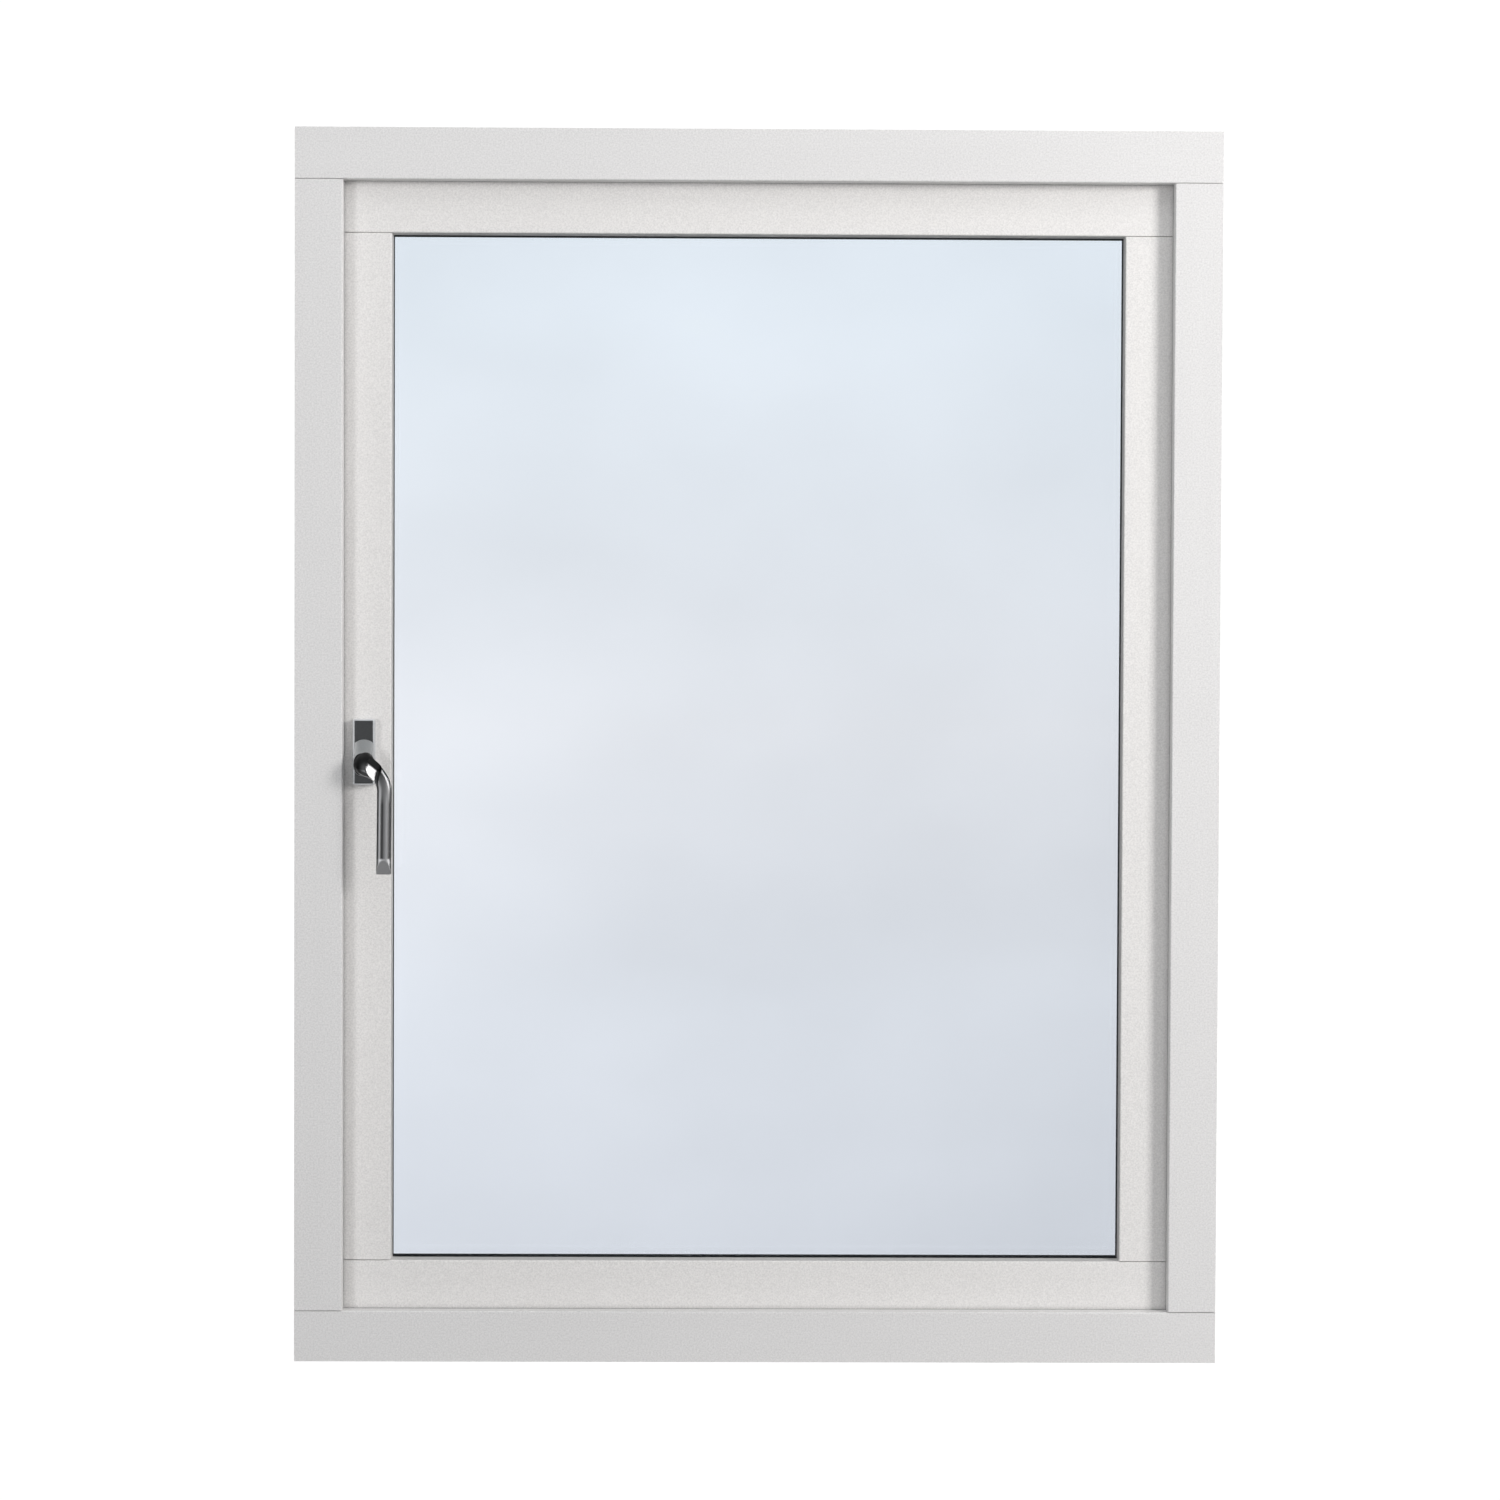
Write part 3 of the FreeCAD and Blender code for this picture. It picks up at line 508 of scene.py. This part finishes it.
def leverRows(look):
    # the centre line, its heading and how far the neck has tipped over, row by row
    along, above = leanAxes(look)
    u = np.linspace(0.0, math.pi / 2, look["rowsElbow"], endpoint=False)
    rise = look["neckBack"] - look["gripY"]
    out = look["elbow"] * (1 - np.cos(u))
    elbowY = look["neckBack"] - rise * np.sin(u)
    elbowXZ = out[:, None] * along + look["lift"][1] * above
    tip = np.arctan2(look["elbow"] * np.sin(u), rise * np.cos(u))
    flatXZ, heading, s = plainPath(look, look["rowsGrip"])
    travelled = np.concatenate([out, s])
    y = np.concatenate([elbowY, np.full(len(s), look["gripY"])])
    # the lift is smaller at the head, and smaller still at the foot
    start, length = look["liftChange"]
    lower = (look["lift"][0] - look["lift"][1]) * (1 - smooth((travelled - start) / length))
    lack, deep = look["footLift"]
    lower -= lack * look["lift"][0] * (1 - smooth((look["neckBack"] - y) / deep))
    xz = np.vstack([elbowXZ, flatXZ]) + lower[:, None] * above
    tips = np.concatenate([tip, np.full(len(s), math.pi / 2)])
    headings = np.concatenate([np.full(len(u), -look["lean"]), heading])
    return xz, y, tips, headings, travelled


def leverSurface(look):
    # each row is a super-ellipse across the centre line: full at the neck, flatter down the grip
    xz, y, tips, headings, s = leverRows(look)
    ease = smooth(s / look["taper"][0])
    halfWidth = look["neck"][0] + (look["grip"][0] - look["neck"][0]) * ease
    halfDepth = look["neck"][1] + (look["grip"][1] - look["neck"][1]) * smooth(s / look["taper"][1])
    power = 2.0 / (look["square"][0] + look["square"][1] * ease)
    undercut = 1.0 - (1.0 - look["foot"]) * np.exp(-((look["neckBack"] - y) / look["footNarrow"]) ** 2)
    phi = np.linspace(0.0, 2 * math.pi, look["around"], endpoint=False)
    cosPhi, sinPhi = np.cos(phi)[None, :], np.sin(phi)[None, :]
    a = (halfWidth * undercut)[:, None] * np.sign(cosPhi) * np.abs(cosPhi) ** power[:, None]
    b = (halfDepth * undercut)[:, None] * np.sign(sinPhi) * np.abs(sinPhi) ** power[:, None]
    across = np.stack([-np.sin(headings), np.zeros_like(y), np.cos(headings)], axis=1)
    ahead = np.stack([np.cos(headings), np.zeros_like(y), np.sin(headings)], axis=1)
    towards = np.array([0.0, -1.0, 0.0])
    deep = np.sin(tips)[:, None] * towards - np.cos(tips)[:, None] * ahead
    centre = np.stack([look["axis"][0] + xz[:, 0], y, look["axis"][1] + xz[:, 1]], axis=1)
    return centre[:, None, :] + a[..., None] * across[:, None, :] + b[..., None] * deep[:, None, :]


cheekLook = {
    "start": (8.0, -4.2),      # a point of the planed cheek, along and across the lean
    "front": sashFace - 43.0,  # its depth there
    "slope": (0.32, 0.53),     # how fast it falls back along and across the lean
    "reach": (6.2, 20.5),      # where it begins and where it runs out, along the lean
    "lean": (-0.40, -0.5),     # how both ends turn with the distance across the lean
    "fade": (1.6, 3.0),        # lengths over which it begins and runs out
    "behind": 3.0,             # how far behind the grip's middle it may still cut
}


def cutCheek(points, look, cheek):
    # the head is planed off on a slope to its upper right, and the plane runs out before the bend
    along, above = leanAxes(look)
    x, z = points[..., 0] - look["axis"][0], points[..., 2] - look["axis"][1]
    s, n = x * along[0] + z * along[1], x * above[0] + z * above[1]
    (s0, n0), (dropS, dropN) = cheek["start"], cheek["slope"]
    plane = cheek["front"] + dropS * (s - s0) + dropN * (n - n0)
    begin = smooth((s - cheek["reach"][0] - cheek["lean"][0] * n) / cheek["fade"][0])
    finish = 1.0 - smooth((s - cheek["reach"][1] - cheek["lean"][1] * n) / cheek["fade"][1])
    share = begin * finish * (points[..., 1] < look["gripY"] + cheek["behind"])
    points[..., 1] += share * np.clip(plane - points[..., 1], 0.0, None)
    return points


def cutFacet(points, look):
    # the front of the tip is planed off on a slope, so nothing stands in front of that plane
    length, depth, limit = look["tipSlope"]
    above = points[..., 2] - look["end"]
    plane = look["gripY"] - look["grip"][1] + depth * np.clip(1.0 - above / length, 0.0, None)
    nearTip = above < limit
    points[..., 1] = np.where(nearTip, np.maximum(points[..., 1], plane), points[..., 1])
    return points


def roundedEnd(points, radius, steps):
    # the last row is carried round a small quarter circle towards its own middle
    last = points[-1]
    middle = last.mean(axis=0)
    outward = last - middle
    reach = np.linalg.norm(outward, axis=1, keepdims=True)
    angle = np.linspace(0.0, math.pi / 2, steps + 1)[1:]
    rows = []
    for turn in angle:
        inset = radius * (1 - math.cos(turn))
        row = middle + outward * (1 - inset / reach)
        row[:, 2] -= radius * math.sin(turn) - radius
        rows.append(row)
    points[-1, :, 2] += radius
    return np.concatenate([points, np.array(rows)])


def gridFaces(rows, columns):
    # quads between neighbouring rows, closed round the columns
    r, c = np.meshgrid(np.arange(rows - 1), np.arange(columns), indexing="ij")
    after = (c + 1) % columns
    low, high = r * columns, (r + 1) * columns
    return np.stack([low + c, low + after, high + after, high + c], -1).reshape(-1, 4)


def closedPiece(name, points, material):
    # a stack of closed rows with a fan at each end, in millimetres
    rows, columns, _ = points.shape
    ends = np.stack([points[0].mean(axis=0), points[-1].mean(axis=0)])
    flat = np.concatenate([points.reshape(-1, 3), ends]) * mm
    first, last = rows * columns, rows * columns + 1
    loop = np.arange(columns)
    after = (loop + 1) % columns
    startFan = np.stack([after, loop, np.full(columns, first)], -1)
    base = (rows - 1) * columns
    endFan = np.stack([base + loop, base + after, np.full(columns, last)], -1)
    faces = gridFaces(rows, columns).tolist() + startFan.tolist() + endFan.tolist()
    mesh = bpy.data.meshes.new(name)
    mesh.from_pydata(flat.tolist(), [], faces)
    mesh.validate()
    mesh.shade_smooth()
    piece = bpy.data.objects.new(name, mesh)
    bpy.context.scene.collection.objects.link(piece)
    mesh.materials.append(material)
    outwardNormals(mesh)
    return piece


def outwardNormals(mesh):
    # every face of the closed mesh is turned to look outwards
    work = bmesh.new()
    work.from_mesh(mesh)
    bmesh.ops.recalc_face_normals(work, faces=work.faces)
    work.to_mesh(mesh)
    work.free()


def makeLever(look):
    # the swept surface, rounded at its end and planed off at the head and at the tip
    points = roundedEnd(leverSurface(look), *look["endRound"])
    points = cutFacet(cutCheek(points, look, cheekLook), look)
    material = leverMaterial(look, leverFinish)
    lever = closedPiece("handleLever", points, material)
    sharpenByAngle(lever, look["sharp"])
    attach(lever, "handle")
    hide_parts("handle_lever")


def sharpenByAngle(piece, degrees):
    # edges that turn by more than the angle are shaded sharp
    piece.data.set_sharp_from_angle(angle=math.radians(degrees))


leverFinish = {
    "satin": (0.545, 0.575),     # heights between which the satin grip becomes the polished head
    "tip": (0.4915, 0.4930),     # and the planed tip becomes the grip
    "rough": (0.09, 0.50),       # roughness of the head and of the grip
    "tipRough": 0.05,            # how much rougher the tip is
    "paintedDarkRough": 0.40,           # and the parts of the head with painted dark reflection
    "haze": (0.498, -0.851, 0.167),   # the way the hazy parts of the head face
    "hazeFrom": (0.93, 0.975),   # how nearly they have to
    "hazeRough": 0.42,           # and how much rougher they are
    "tones": (0.6, 0.78),        # tone of the head and of the grip
    "leftReflectionFade": (-0.70, -0.45),  # the head's tone fades as it turns to the left, a painted dark reflection
    "rightReflectionFade": (0.75, 0.90),   # and to the right
    # tone of the painted dark reflection at the head's edges
    "edgeReflectionTone": 0.3,
    "crownUp": (-0.30, 0.0),     # the head gets a painted dark reflection where it faces up
    "crownRight": (0.25, 0.40),  # and doesn't face right
    "stripAbove": (0.0045, 0.006),   # and so far above the lean
    "stripAlong": (0.017, 0.020),    # up to so far along it
    # tone of the painted dark reflection on the head
    "paintedDarkTone": 0.12,
    # tone of the grip round its section, painted highlights and dark reflections in bands, from facing
    # left (0) over the front (0.5) to right (1)
    "reflectionBands": ((0.0, 0.5), (0.17, 0.2), (0.31, 0.8), (0.41, 0.15), (0.475, 0.08), (0.51, 0.5),
              (0.565, 1.0), (0.62, 1.0), (0.66, 0.5), (0.79, 0.08), (1.0, 0.5)),
    "grain": (1500.0, 0.04, 0.06),   # cells in a metre, and its part in roughness and tone
    "bump": (0.06, 0.00008),
}


def leanDistance(tree, points, way, axis):
    # distance from the turning axis along a direction in the X and Z plane, in metres
    start = (way[0] * axis[0] + way[1] * axis[1]) * mm
    return combine(tree, "SUBTRACT", dot(tree, points, (way[0], 0.0, way[1])), start)


def paintedHeadReflection(tree, points, facing, polished, look, finish):
    # one where the head gets a painted dark reflection: on the crown of the head and on the strip above
    # the planed cheek
    notRight = spread(tree, facing["X"], 1.0, 0.0, *finish["crownRight"])
    crown = times(tree, spread(tree, facing["Z"], 0.0, 1.0, *finish["crownUp"]), notRight)
    along, above = leanAxes(look)
    s = leanDistance(tree, points, along, look["axis"])
    n = leanDistance(tree, points, above, look["axis"])
    strip = times(tree, spread(tree, n, 0.0, 1.0, *finish["stripAbove"]),
                  spread(tree, s, 1.0, 0.0, *finish["stripAlong"]))
    return times(tree, combine(tree, "MAXIMUM", crown, strip), polished)


def leverTone(tree, facing, paintedDarkMask, grip, finish):
    # painted reflection: on the head the tone falls at both sides and on the parts with painted dark
    # reflection; the grip has lengthwise bands of painted highlight and dark reflection
    leftReflectionFade = spread(tree, facing["X"], finish["edgeReflectionTone"], 1.0, *finish["leftReflectionFade"])
    rightReflectionFade = spread(tree, facing["X"], 1.0, finish["edgeReflectionTone"], *finish["rightReflectionFade"])
    head = times(tree, leftReflectionFade, rightReflectionFade, spread(tree, paintedDarkMask, 1.0, finish["paintedDarkTone"]))
    around = spread(tree, facing["X"], 0.0, 1.0, -1.0, 1.0)
    reflectionBands = ramp(tree, around, greys(finish["reflectionBands"]))
    return plus(tree, times(tree, head, spread(tree, grip, 1.0, 0.0)), times(tree, reflectionBands, grip))


def leverRoughness(tree, satin, tip, paintedDarkMask, finish):
    # smooth on the head but for the parts with painted dark reflection and the parts that face the haze
    # direction
    hazy = spread(tree, dot(tree, facingAxes(tree), finish["haze"]), 0.0, finish["hazeRough"],
                  *finish["hazeFrom"])
    return plus(tree, spread(tree, satin, *finish["rough"]), spread(tree, tip, 0.0, finish["tipRough"]),
                times(tree, hazy, spread(tree, satin, 1.0, 0.0)),
                spread(tree, paintedDarkMask, 0.0, finish["paintedDarkRough"]))


def leverMaterial(look, finish):
    # polished at the head, satin down the grip, matt on the planed tip, with a fine grain all over; its
    # tone also carries painted dark reflections on the head and painted highlight bands down the grip
    material, tree, shader = newMaterial("leverChrome")
    points = objectPoints(tree)
    height = axes(tree, points)["Z"]
    facing = axes(tree, facingAxes(tree))
    satin = spread(tree, height, 1.0, 0.0, *finish["satin"])
    tip = spread(tree, height, 1.0, 0.0, *finish["tip"])
    paintedDarkMask = paintedHeadReflection(tree, points, facing, spread(tree, satin, 1.0, 0.0), look, finish)
    cells, unevenGloss, unevenTone = finish["grain"]
    grain = noise(tree, objectPoints(tree, (1.0, 1.0, 6.0)), cells, 3.0, 0.6)
    rough = plus(tree, leverRoughness(tree, satin, tip, paintedDarkMask, finish), sway(tree, grain, unevenGloss))
    tree.links.new(rough, shader.inputs["Roughness"])
    grip = combine(tree, "SUBTRACT", satin, tip)
    tone = plus(tree, sway(tree, grain, unevenTone), spread(tree, satin, *finish["tones"]))
    # painted reflections: dark on the head, bands of highlight and dark down the grip
    tone = times(tree, tone, leverTone(tree, facing, paintedDarkMask, grip, finish))
    stops = [(0.0, (0.0, 0.0, 0.0)), (1.0, (1.0, 1.0, 1.02))]
    tree.links.new(ramp(tree, tone, stops), shader.inputs["Base Color"])
    shader.inputs["Metallic"].default_value = 1.0
    addBump(tree, shader, grain, *finish["bump"])
    return material


# Handle: cover plate and collar.

plateLook = {
    "middle": (-383.6, 594.75),
    "half": (10.7, 32.15),
    "corner": 2.0,
    "back": sashFace,
    "front": sashFace - 10.0,
    "chamfer": 1.5,
    "guards": (0.6, 0.25, 0.08, 0.12, 1.2),   # distances of the outlines that keep the edges crisp
    "around": 12,              # points round each corner
    "sharp": 30.0,             # edges that turn by more degrees than this are sharp
    "facing": (-0.99, -0.93),  # how nearly a point faces the front to belong to the face with the painted dark reflection
    "tones": (0.85, 0.15),     # tone, roughness and metal of the edge, whose bright tone is a painted highlight, and of the face, whose dark tone is a painted dark reflection
    "rough": (0.18, 0.42),
    "metal": (0.4, 1.0),
    "grain": (1800.0, 0.05, 0.02),   # cells in a metre, and its part in roughness and tone
    "bump": (0.1, 0.00008),
}


def roundedOutline(half, corner, steps):
    # a rectangle with quarter-circle corners, anticlockwise
    turn = np.linspace(0.0, math.pi / 2, steps)
    points = []
    for quarter, (sx, sz) in enumerate(((1, 1), (-1, 1), (-1, -1), (1, -1))):
        angle = turn + quarter * math.pi / 2
        x = sx * (half[0] - corner) + corner * np.cos(angle)
        z = sz * (half[1] - corner) + corner * np.sin(angle)
        points.append(np.stack([x, z], -1))
    return np.concatenate(points)


def makePlate(look):
    # stacked outlines: back, side, the two edges of the chamfer, then the flat face
    front, chamfer, guards = look["front"], look["chamfer"], look["guards"]
    profile = [(0.0, look["back"]), (0.0, look["back"] - guards[0])]
    profile += [(0.0, front + chamfer + guards[1]), (guards[2], front + chamfer)]
    profile += [(chamfer - guards[2], front + guards[2])]
    profile += [(chamfer + guards[3], front), (chamfer + guards[4], front)]
    rows = []
    for inset, y in profile:
        half = (look["half"][0] - inset, look["half"][1] - inset)
        outline = roundedOutline(half, max(look["corner"] - inset, 0.35), look["around"])
        rows.append(np.stack([look["middle"][0] + outline[:, 0], np.full(len(outline), y),
                              look["middle"][1] + outline[:, 1]], -1))
    plate = closedPiece("handlePlate", np.array(rows), plateMaterial(look))
    sharpenByAngle(plate, look["sharp"])
    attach(plate, "sash")
    return plate


def plateMaterial(look):
    # a satin face painted dark as a reflection, inside a polished edge painted bright as a highlight:
    # the object-space normal tells them apart
    material, tree, shader = newMaterial("plateChrome")
    face = spread(tree, axes(tree, facingAxes(tree))["Y"], 1.0, 0.0, *look["facing"])
    cells, unevenGloss, unevenTone = look["grain"]
    grain = noise(tree, objectPoints(tree), cells, 3.0, 0.7)
    # painted highlight on the edge and painted dark reflection on the face
    tone = plus(tree, spread(tree, face, *look["tones"]), sway(tree, grain, unevenTone))
    stops = [(0.0, (0.0, 0.0, 0.0)), (1.0, (1.0, 1.02, 1.05))]
    tree.links.new(ramp(tree, tone, stops), shader.inputs["Base Color"])
    rough = plus(tree, spread(tree, face, *look["rough"]), sway(tree, grain, unevenGloss))
    tree.links.new(rough, shader.inputs["Roughness"])
    tree.links.new(spread(tree, face, *look["metal"]), shader.inputs["Metallic"])
    addBump(tree, shader, grain, *look["bump"])
    return material


collarLook = {
    "half": (9.4, 10.7, 11.8),  # half width, height above the axis and depth below it
    "aside": 0.4,               # its middle, right of the axis
    "square": 2.35,             # how square the outline is: 2 would be an ellipse
    "top": 607.6,               # highest point of the fairing, on the plate
    "arch": 13.9,               # radius of its rounded upper edge
    "back": sashFace - 9.6,
    "front": sashFace - 20.4,
    "edge": 0.5,                # rounding of the front edge
    "steep": 3.2,               # how fast the fairing rises from its ends
    "slide": 1.15,              # above one, the arch gives way to the rounded front sooner
    "inner": (0.97, 0.8),       # sizes of the two outlines inside the rounding
    "rows": 22,
    "points": 48,               # round each half
    "sharp": 40.0,              # edges that turn by more degrees than this are sharp
    "bush": (0.00002, 0.00008),   # depths behind the front where the painted shade of the gap under the lever's head ends, in metres
    "tones": (0.01, 1.0),       # tone and metal of the painted gap shade and of the collar
    "metal": (0.0, 0.75),
    "chrome": 0.78,
    "rough": (0.30, 0.40),
    "grain": (900.0, 0.05),     # cells in a metre, and its part in the tone
    "bump": (0.08, 0.0001),
}


def collarOutlines(look):
    # lower half shared by both; the upper half is an arch on the plate and rounded at the front
    wide, high, low = look["half"]
    power = 2.0 / look["square"]
    lower = np.linspace(math.pi, 2 * math.pi, look["points"], endpoint=False)
    upper = np.linspace(0.0, math.pi, look["points"], endpoint=False)

    def rounded(angle, height):
        across = np.sign(np.cos(angle)) * np.abs(np.cos(angle)) ** power
        up = np.sign(np.sin(angle)) * np.abs(np.sin(angle)) ** power
        return np.stack([wide * across, height * up], -1)

    lowerPart, frontPart = rounded(lower, low), rounded(upper, high)
    topZ = look["top"] - handleLook["axis"][1]
    x = frontPart[:, 0]
    reach = np.sqrt(look["arch"] ** 2 - x ** 2) + topZ - look["arch"]
    steep = np.clip(np.sin(upper) * look["steep"], 0.0, 1.0)
    backPart = np.stack([x, reach * steep], -1)
    return np.concatenate([lowerPart, backPart]), np.concatenate([lowerPart, frontPart])


def makeCollar(look):
    # the outline slides from the arch to the rounded front as it comes forward, then turns over
    back, front = collarOutlines(look)
    t = np.linspace(0.0, 1.0, look["rows"])
    blend = (1.0 - (1.0 - t) ** look["slide"])[:, None, None]
    outline = back + (front - back) * blend
    frontSide = look["front"] + look["edge"]
    y = look["back"] + (frontSide - look["back"]) * t
    turn = np.linspace(0.0, math.pi / 2, 5)[1:]
    inset = look["edge"] * (1 - np.cos(turn)) / look["half"][0]
    rounding = front[None] * (1 - inset)[:, None, None]
    inner = rounding[-1:] * np.array(look["inner"])[:, None, None]
    outline = np.concatenate([outline, rounding, inner])
    y = np.concatenate([y, frontSide - look["edge"] * np.sin(turn), [look["front"], look["front"]]])
    x0, z0 = handleLook["axis"]
    depth = np.broadcast_to(y[:, None], outline.shape[:2])
    points = np.stack([x0 + look["aside"] + outline[..., 0], depth, z0 + outline[..., 1]], -1)
    collar = closedPiece("handleCollar", points, collarMaterial(look))
    sharpenByAngle(collar, look["sharp"])
    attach(collar, "sash")
    return collar


def collarMaterial(look):
    # satin chrome with its front painted black as the shade in the gap under the lever's head, told
    # apart by depth
    material, tree, shader = newMaterial("collarChrome")
    start, end = (look["front"] * mm + depth for depth in look["bush"])
    # the front face is painted black, the painted shade of the gap under the lever's head
    bush = spread(tree, axes(tree, objectPoints(tree))["Y"], 1.0, 0.0, start, end)
    metal = combine(tree, "SUBTRACT", 1.0, bush)
    cells, unevenTone = look["grain"]
    streak = noise(tree, objectPoints(tree, (1.0, 1.0, 5.0)), cells, 4.0, 0.6)
    tone = plus(tree, sway(tree, streak, unevenTone), look["chrome"])
    tone = times(tree, tone, spread(tree, metal, *look["tones"]))
    stops = [(0.0, (0.0, 0.0, 0.0)), (1.0, (1.0, 1.01, 1.02))]
    tree.links.new(ramp(tree, tone, stops), shader.inputs["Base Color"])
    tree.links.new(spread(tree, metal, *look["metal"]), shader.inputs["Metallic"])
    rough = spread(tree, streak, *look["rough"], *middling)
    tree.links.new(rough, shader.inputs["Roughness"])
    addBump(tree, shader, streak, *look["bump"])
    return material


# Finishes for the frame's own nodes.

# how far the paint's streaks are drawn out along an upright and along a level member
streakWays = {"Upright": (1.0, 1.0, 0.05), "Level": (0.05, 1.0, 1.0)}

# each with its material's name, colour, roughness and cells of the grain in a metre
dullFinishes = {
    "seal_rubber": ("sealRubber", (0.012, 0.012, 0.013), 0.55, 900.0),
    "edge_sealant": ("edgeSealant", (0.012, 0.012, 0.012), 0.6, 500.0),
    "spacer_black": ("spacerBar", (0.014, 0.014, 0.016), 0.5, 1200.0),
    "setting_plastic": ("settingPlastic", (0.05, 0.09, 0.2), 0.45, 700.0),
    "washer_nylon": ("washerNylon", (0.72, 0.7, 0.64), 0.4, 900.0),
}

# each with its material's name, colour, roughness and how its streaks are drawn out
metalFinishes = {
    "drip_bar_aluminium": ("dripAluminium", (0.75, 0.75, 0.76), 0.36, (0.02, 1.0, 1.0)),
    "hinge_steel": ("hingeSteel", (0.56, 0.56, 0.57), 0.3, (1.0, 1.0, 0.03)),
    "screw_zinc": ("screwZinc", (0.6, 0.61, 0.64), 0.28, (1.0, 1.0, 1.0)),
    "lock_zinc": ("lockZinc", (0.55, 0.56, 0.6), 0.34, (1.0, 1.0, 0.05)),
    "cam_brass": ("camBrass", (0.66, 0.48, 0.2), 0.25, (1.0, 1.0, 1.0)),
    "gear_steel": ("gearSteel", (0.42, 0.42, 0.44), 0.32, (1.0, 1.0, 1.0)),
}


def mixPaints():
    # one paint for each body and direction: the streaks follow the length of the member
    paints = {}
    for body, look in (("frame", paintLook), ("sash", sashPaintLook)):
        for way, stretch in streakWays.items():
            paints[body, way] = paintMaterial(body + "Paint" + way, look, stretch)
    return paints


def choosePaint(paints, name):
    # by the node's name: sash or frame, level or upright
    body = "sash" if name.startswith(("sash", "bead")) else "frame"
    level = any(word in name for word in ("head", "sill", "rail", "top", "bottom"))
    return paints[body, "Level" if level else "Upright"]


def finishNodes():
    # each node gets the finish of its slot, and the painted ones the paint that runs their way
    paints = mixPaints()
    finishes = {slot: dullMaterial(*values) for slot, values in dullFinishes.items()}
    finishes["clear_glass"] = glassMaterial("paneGlass", glassLook)
    for slot, values in metalFinishes.items():
        finishes[slot] = metalMaterial(*values)
    for part in frame["record"]["subparts"]:
        slot, name = part["material_slot"], part["node"]
        finish = choosePaint(paints, name) if slot == "painted_timber" else finishes.get(slot)
        if finish is None:
            continue
        for place in nodes[name].material_slots:
            place.material = finish


# The making.

addCamera(cameraLook)
addLights(lightLook)
addWorld(worldLook)
addFloor(floorLook)
print("stage: camera, lights, world and floor")

finishNodes()
print("finishes: the frame's nodes")

makeLever(handleLook)
plate = makePlate(plateLook)
collar = makeCollar(collarLook)
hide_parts("handle_rose")
print("handle: lever, plate and collar")

bpy.context.scene.view_settings.view_transform = "Standard"
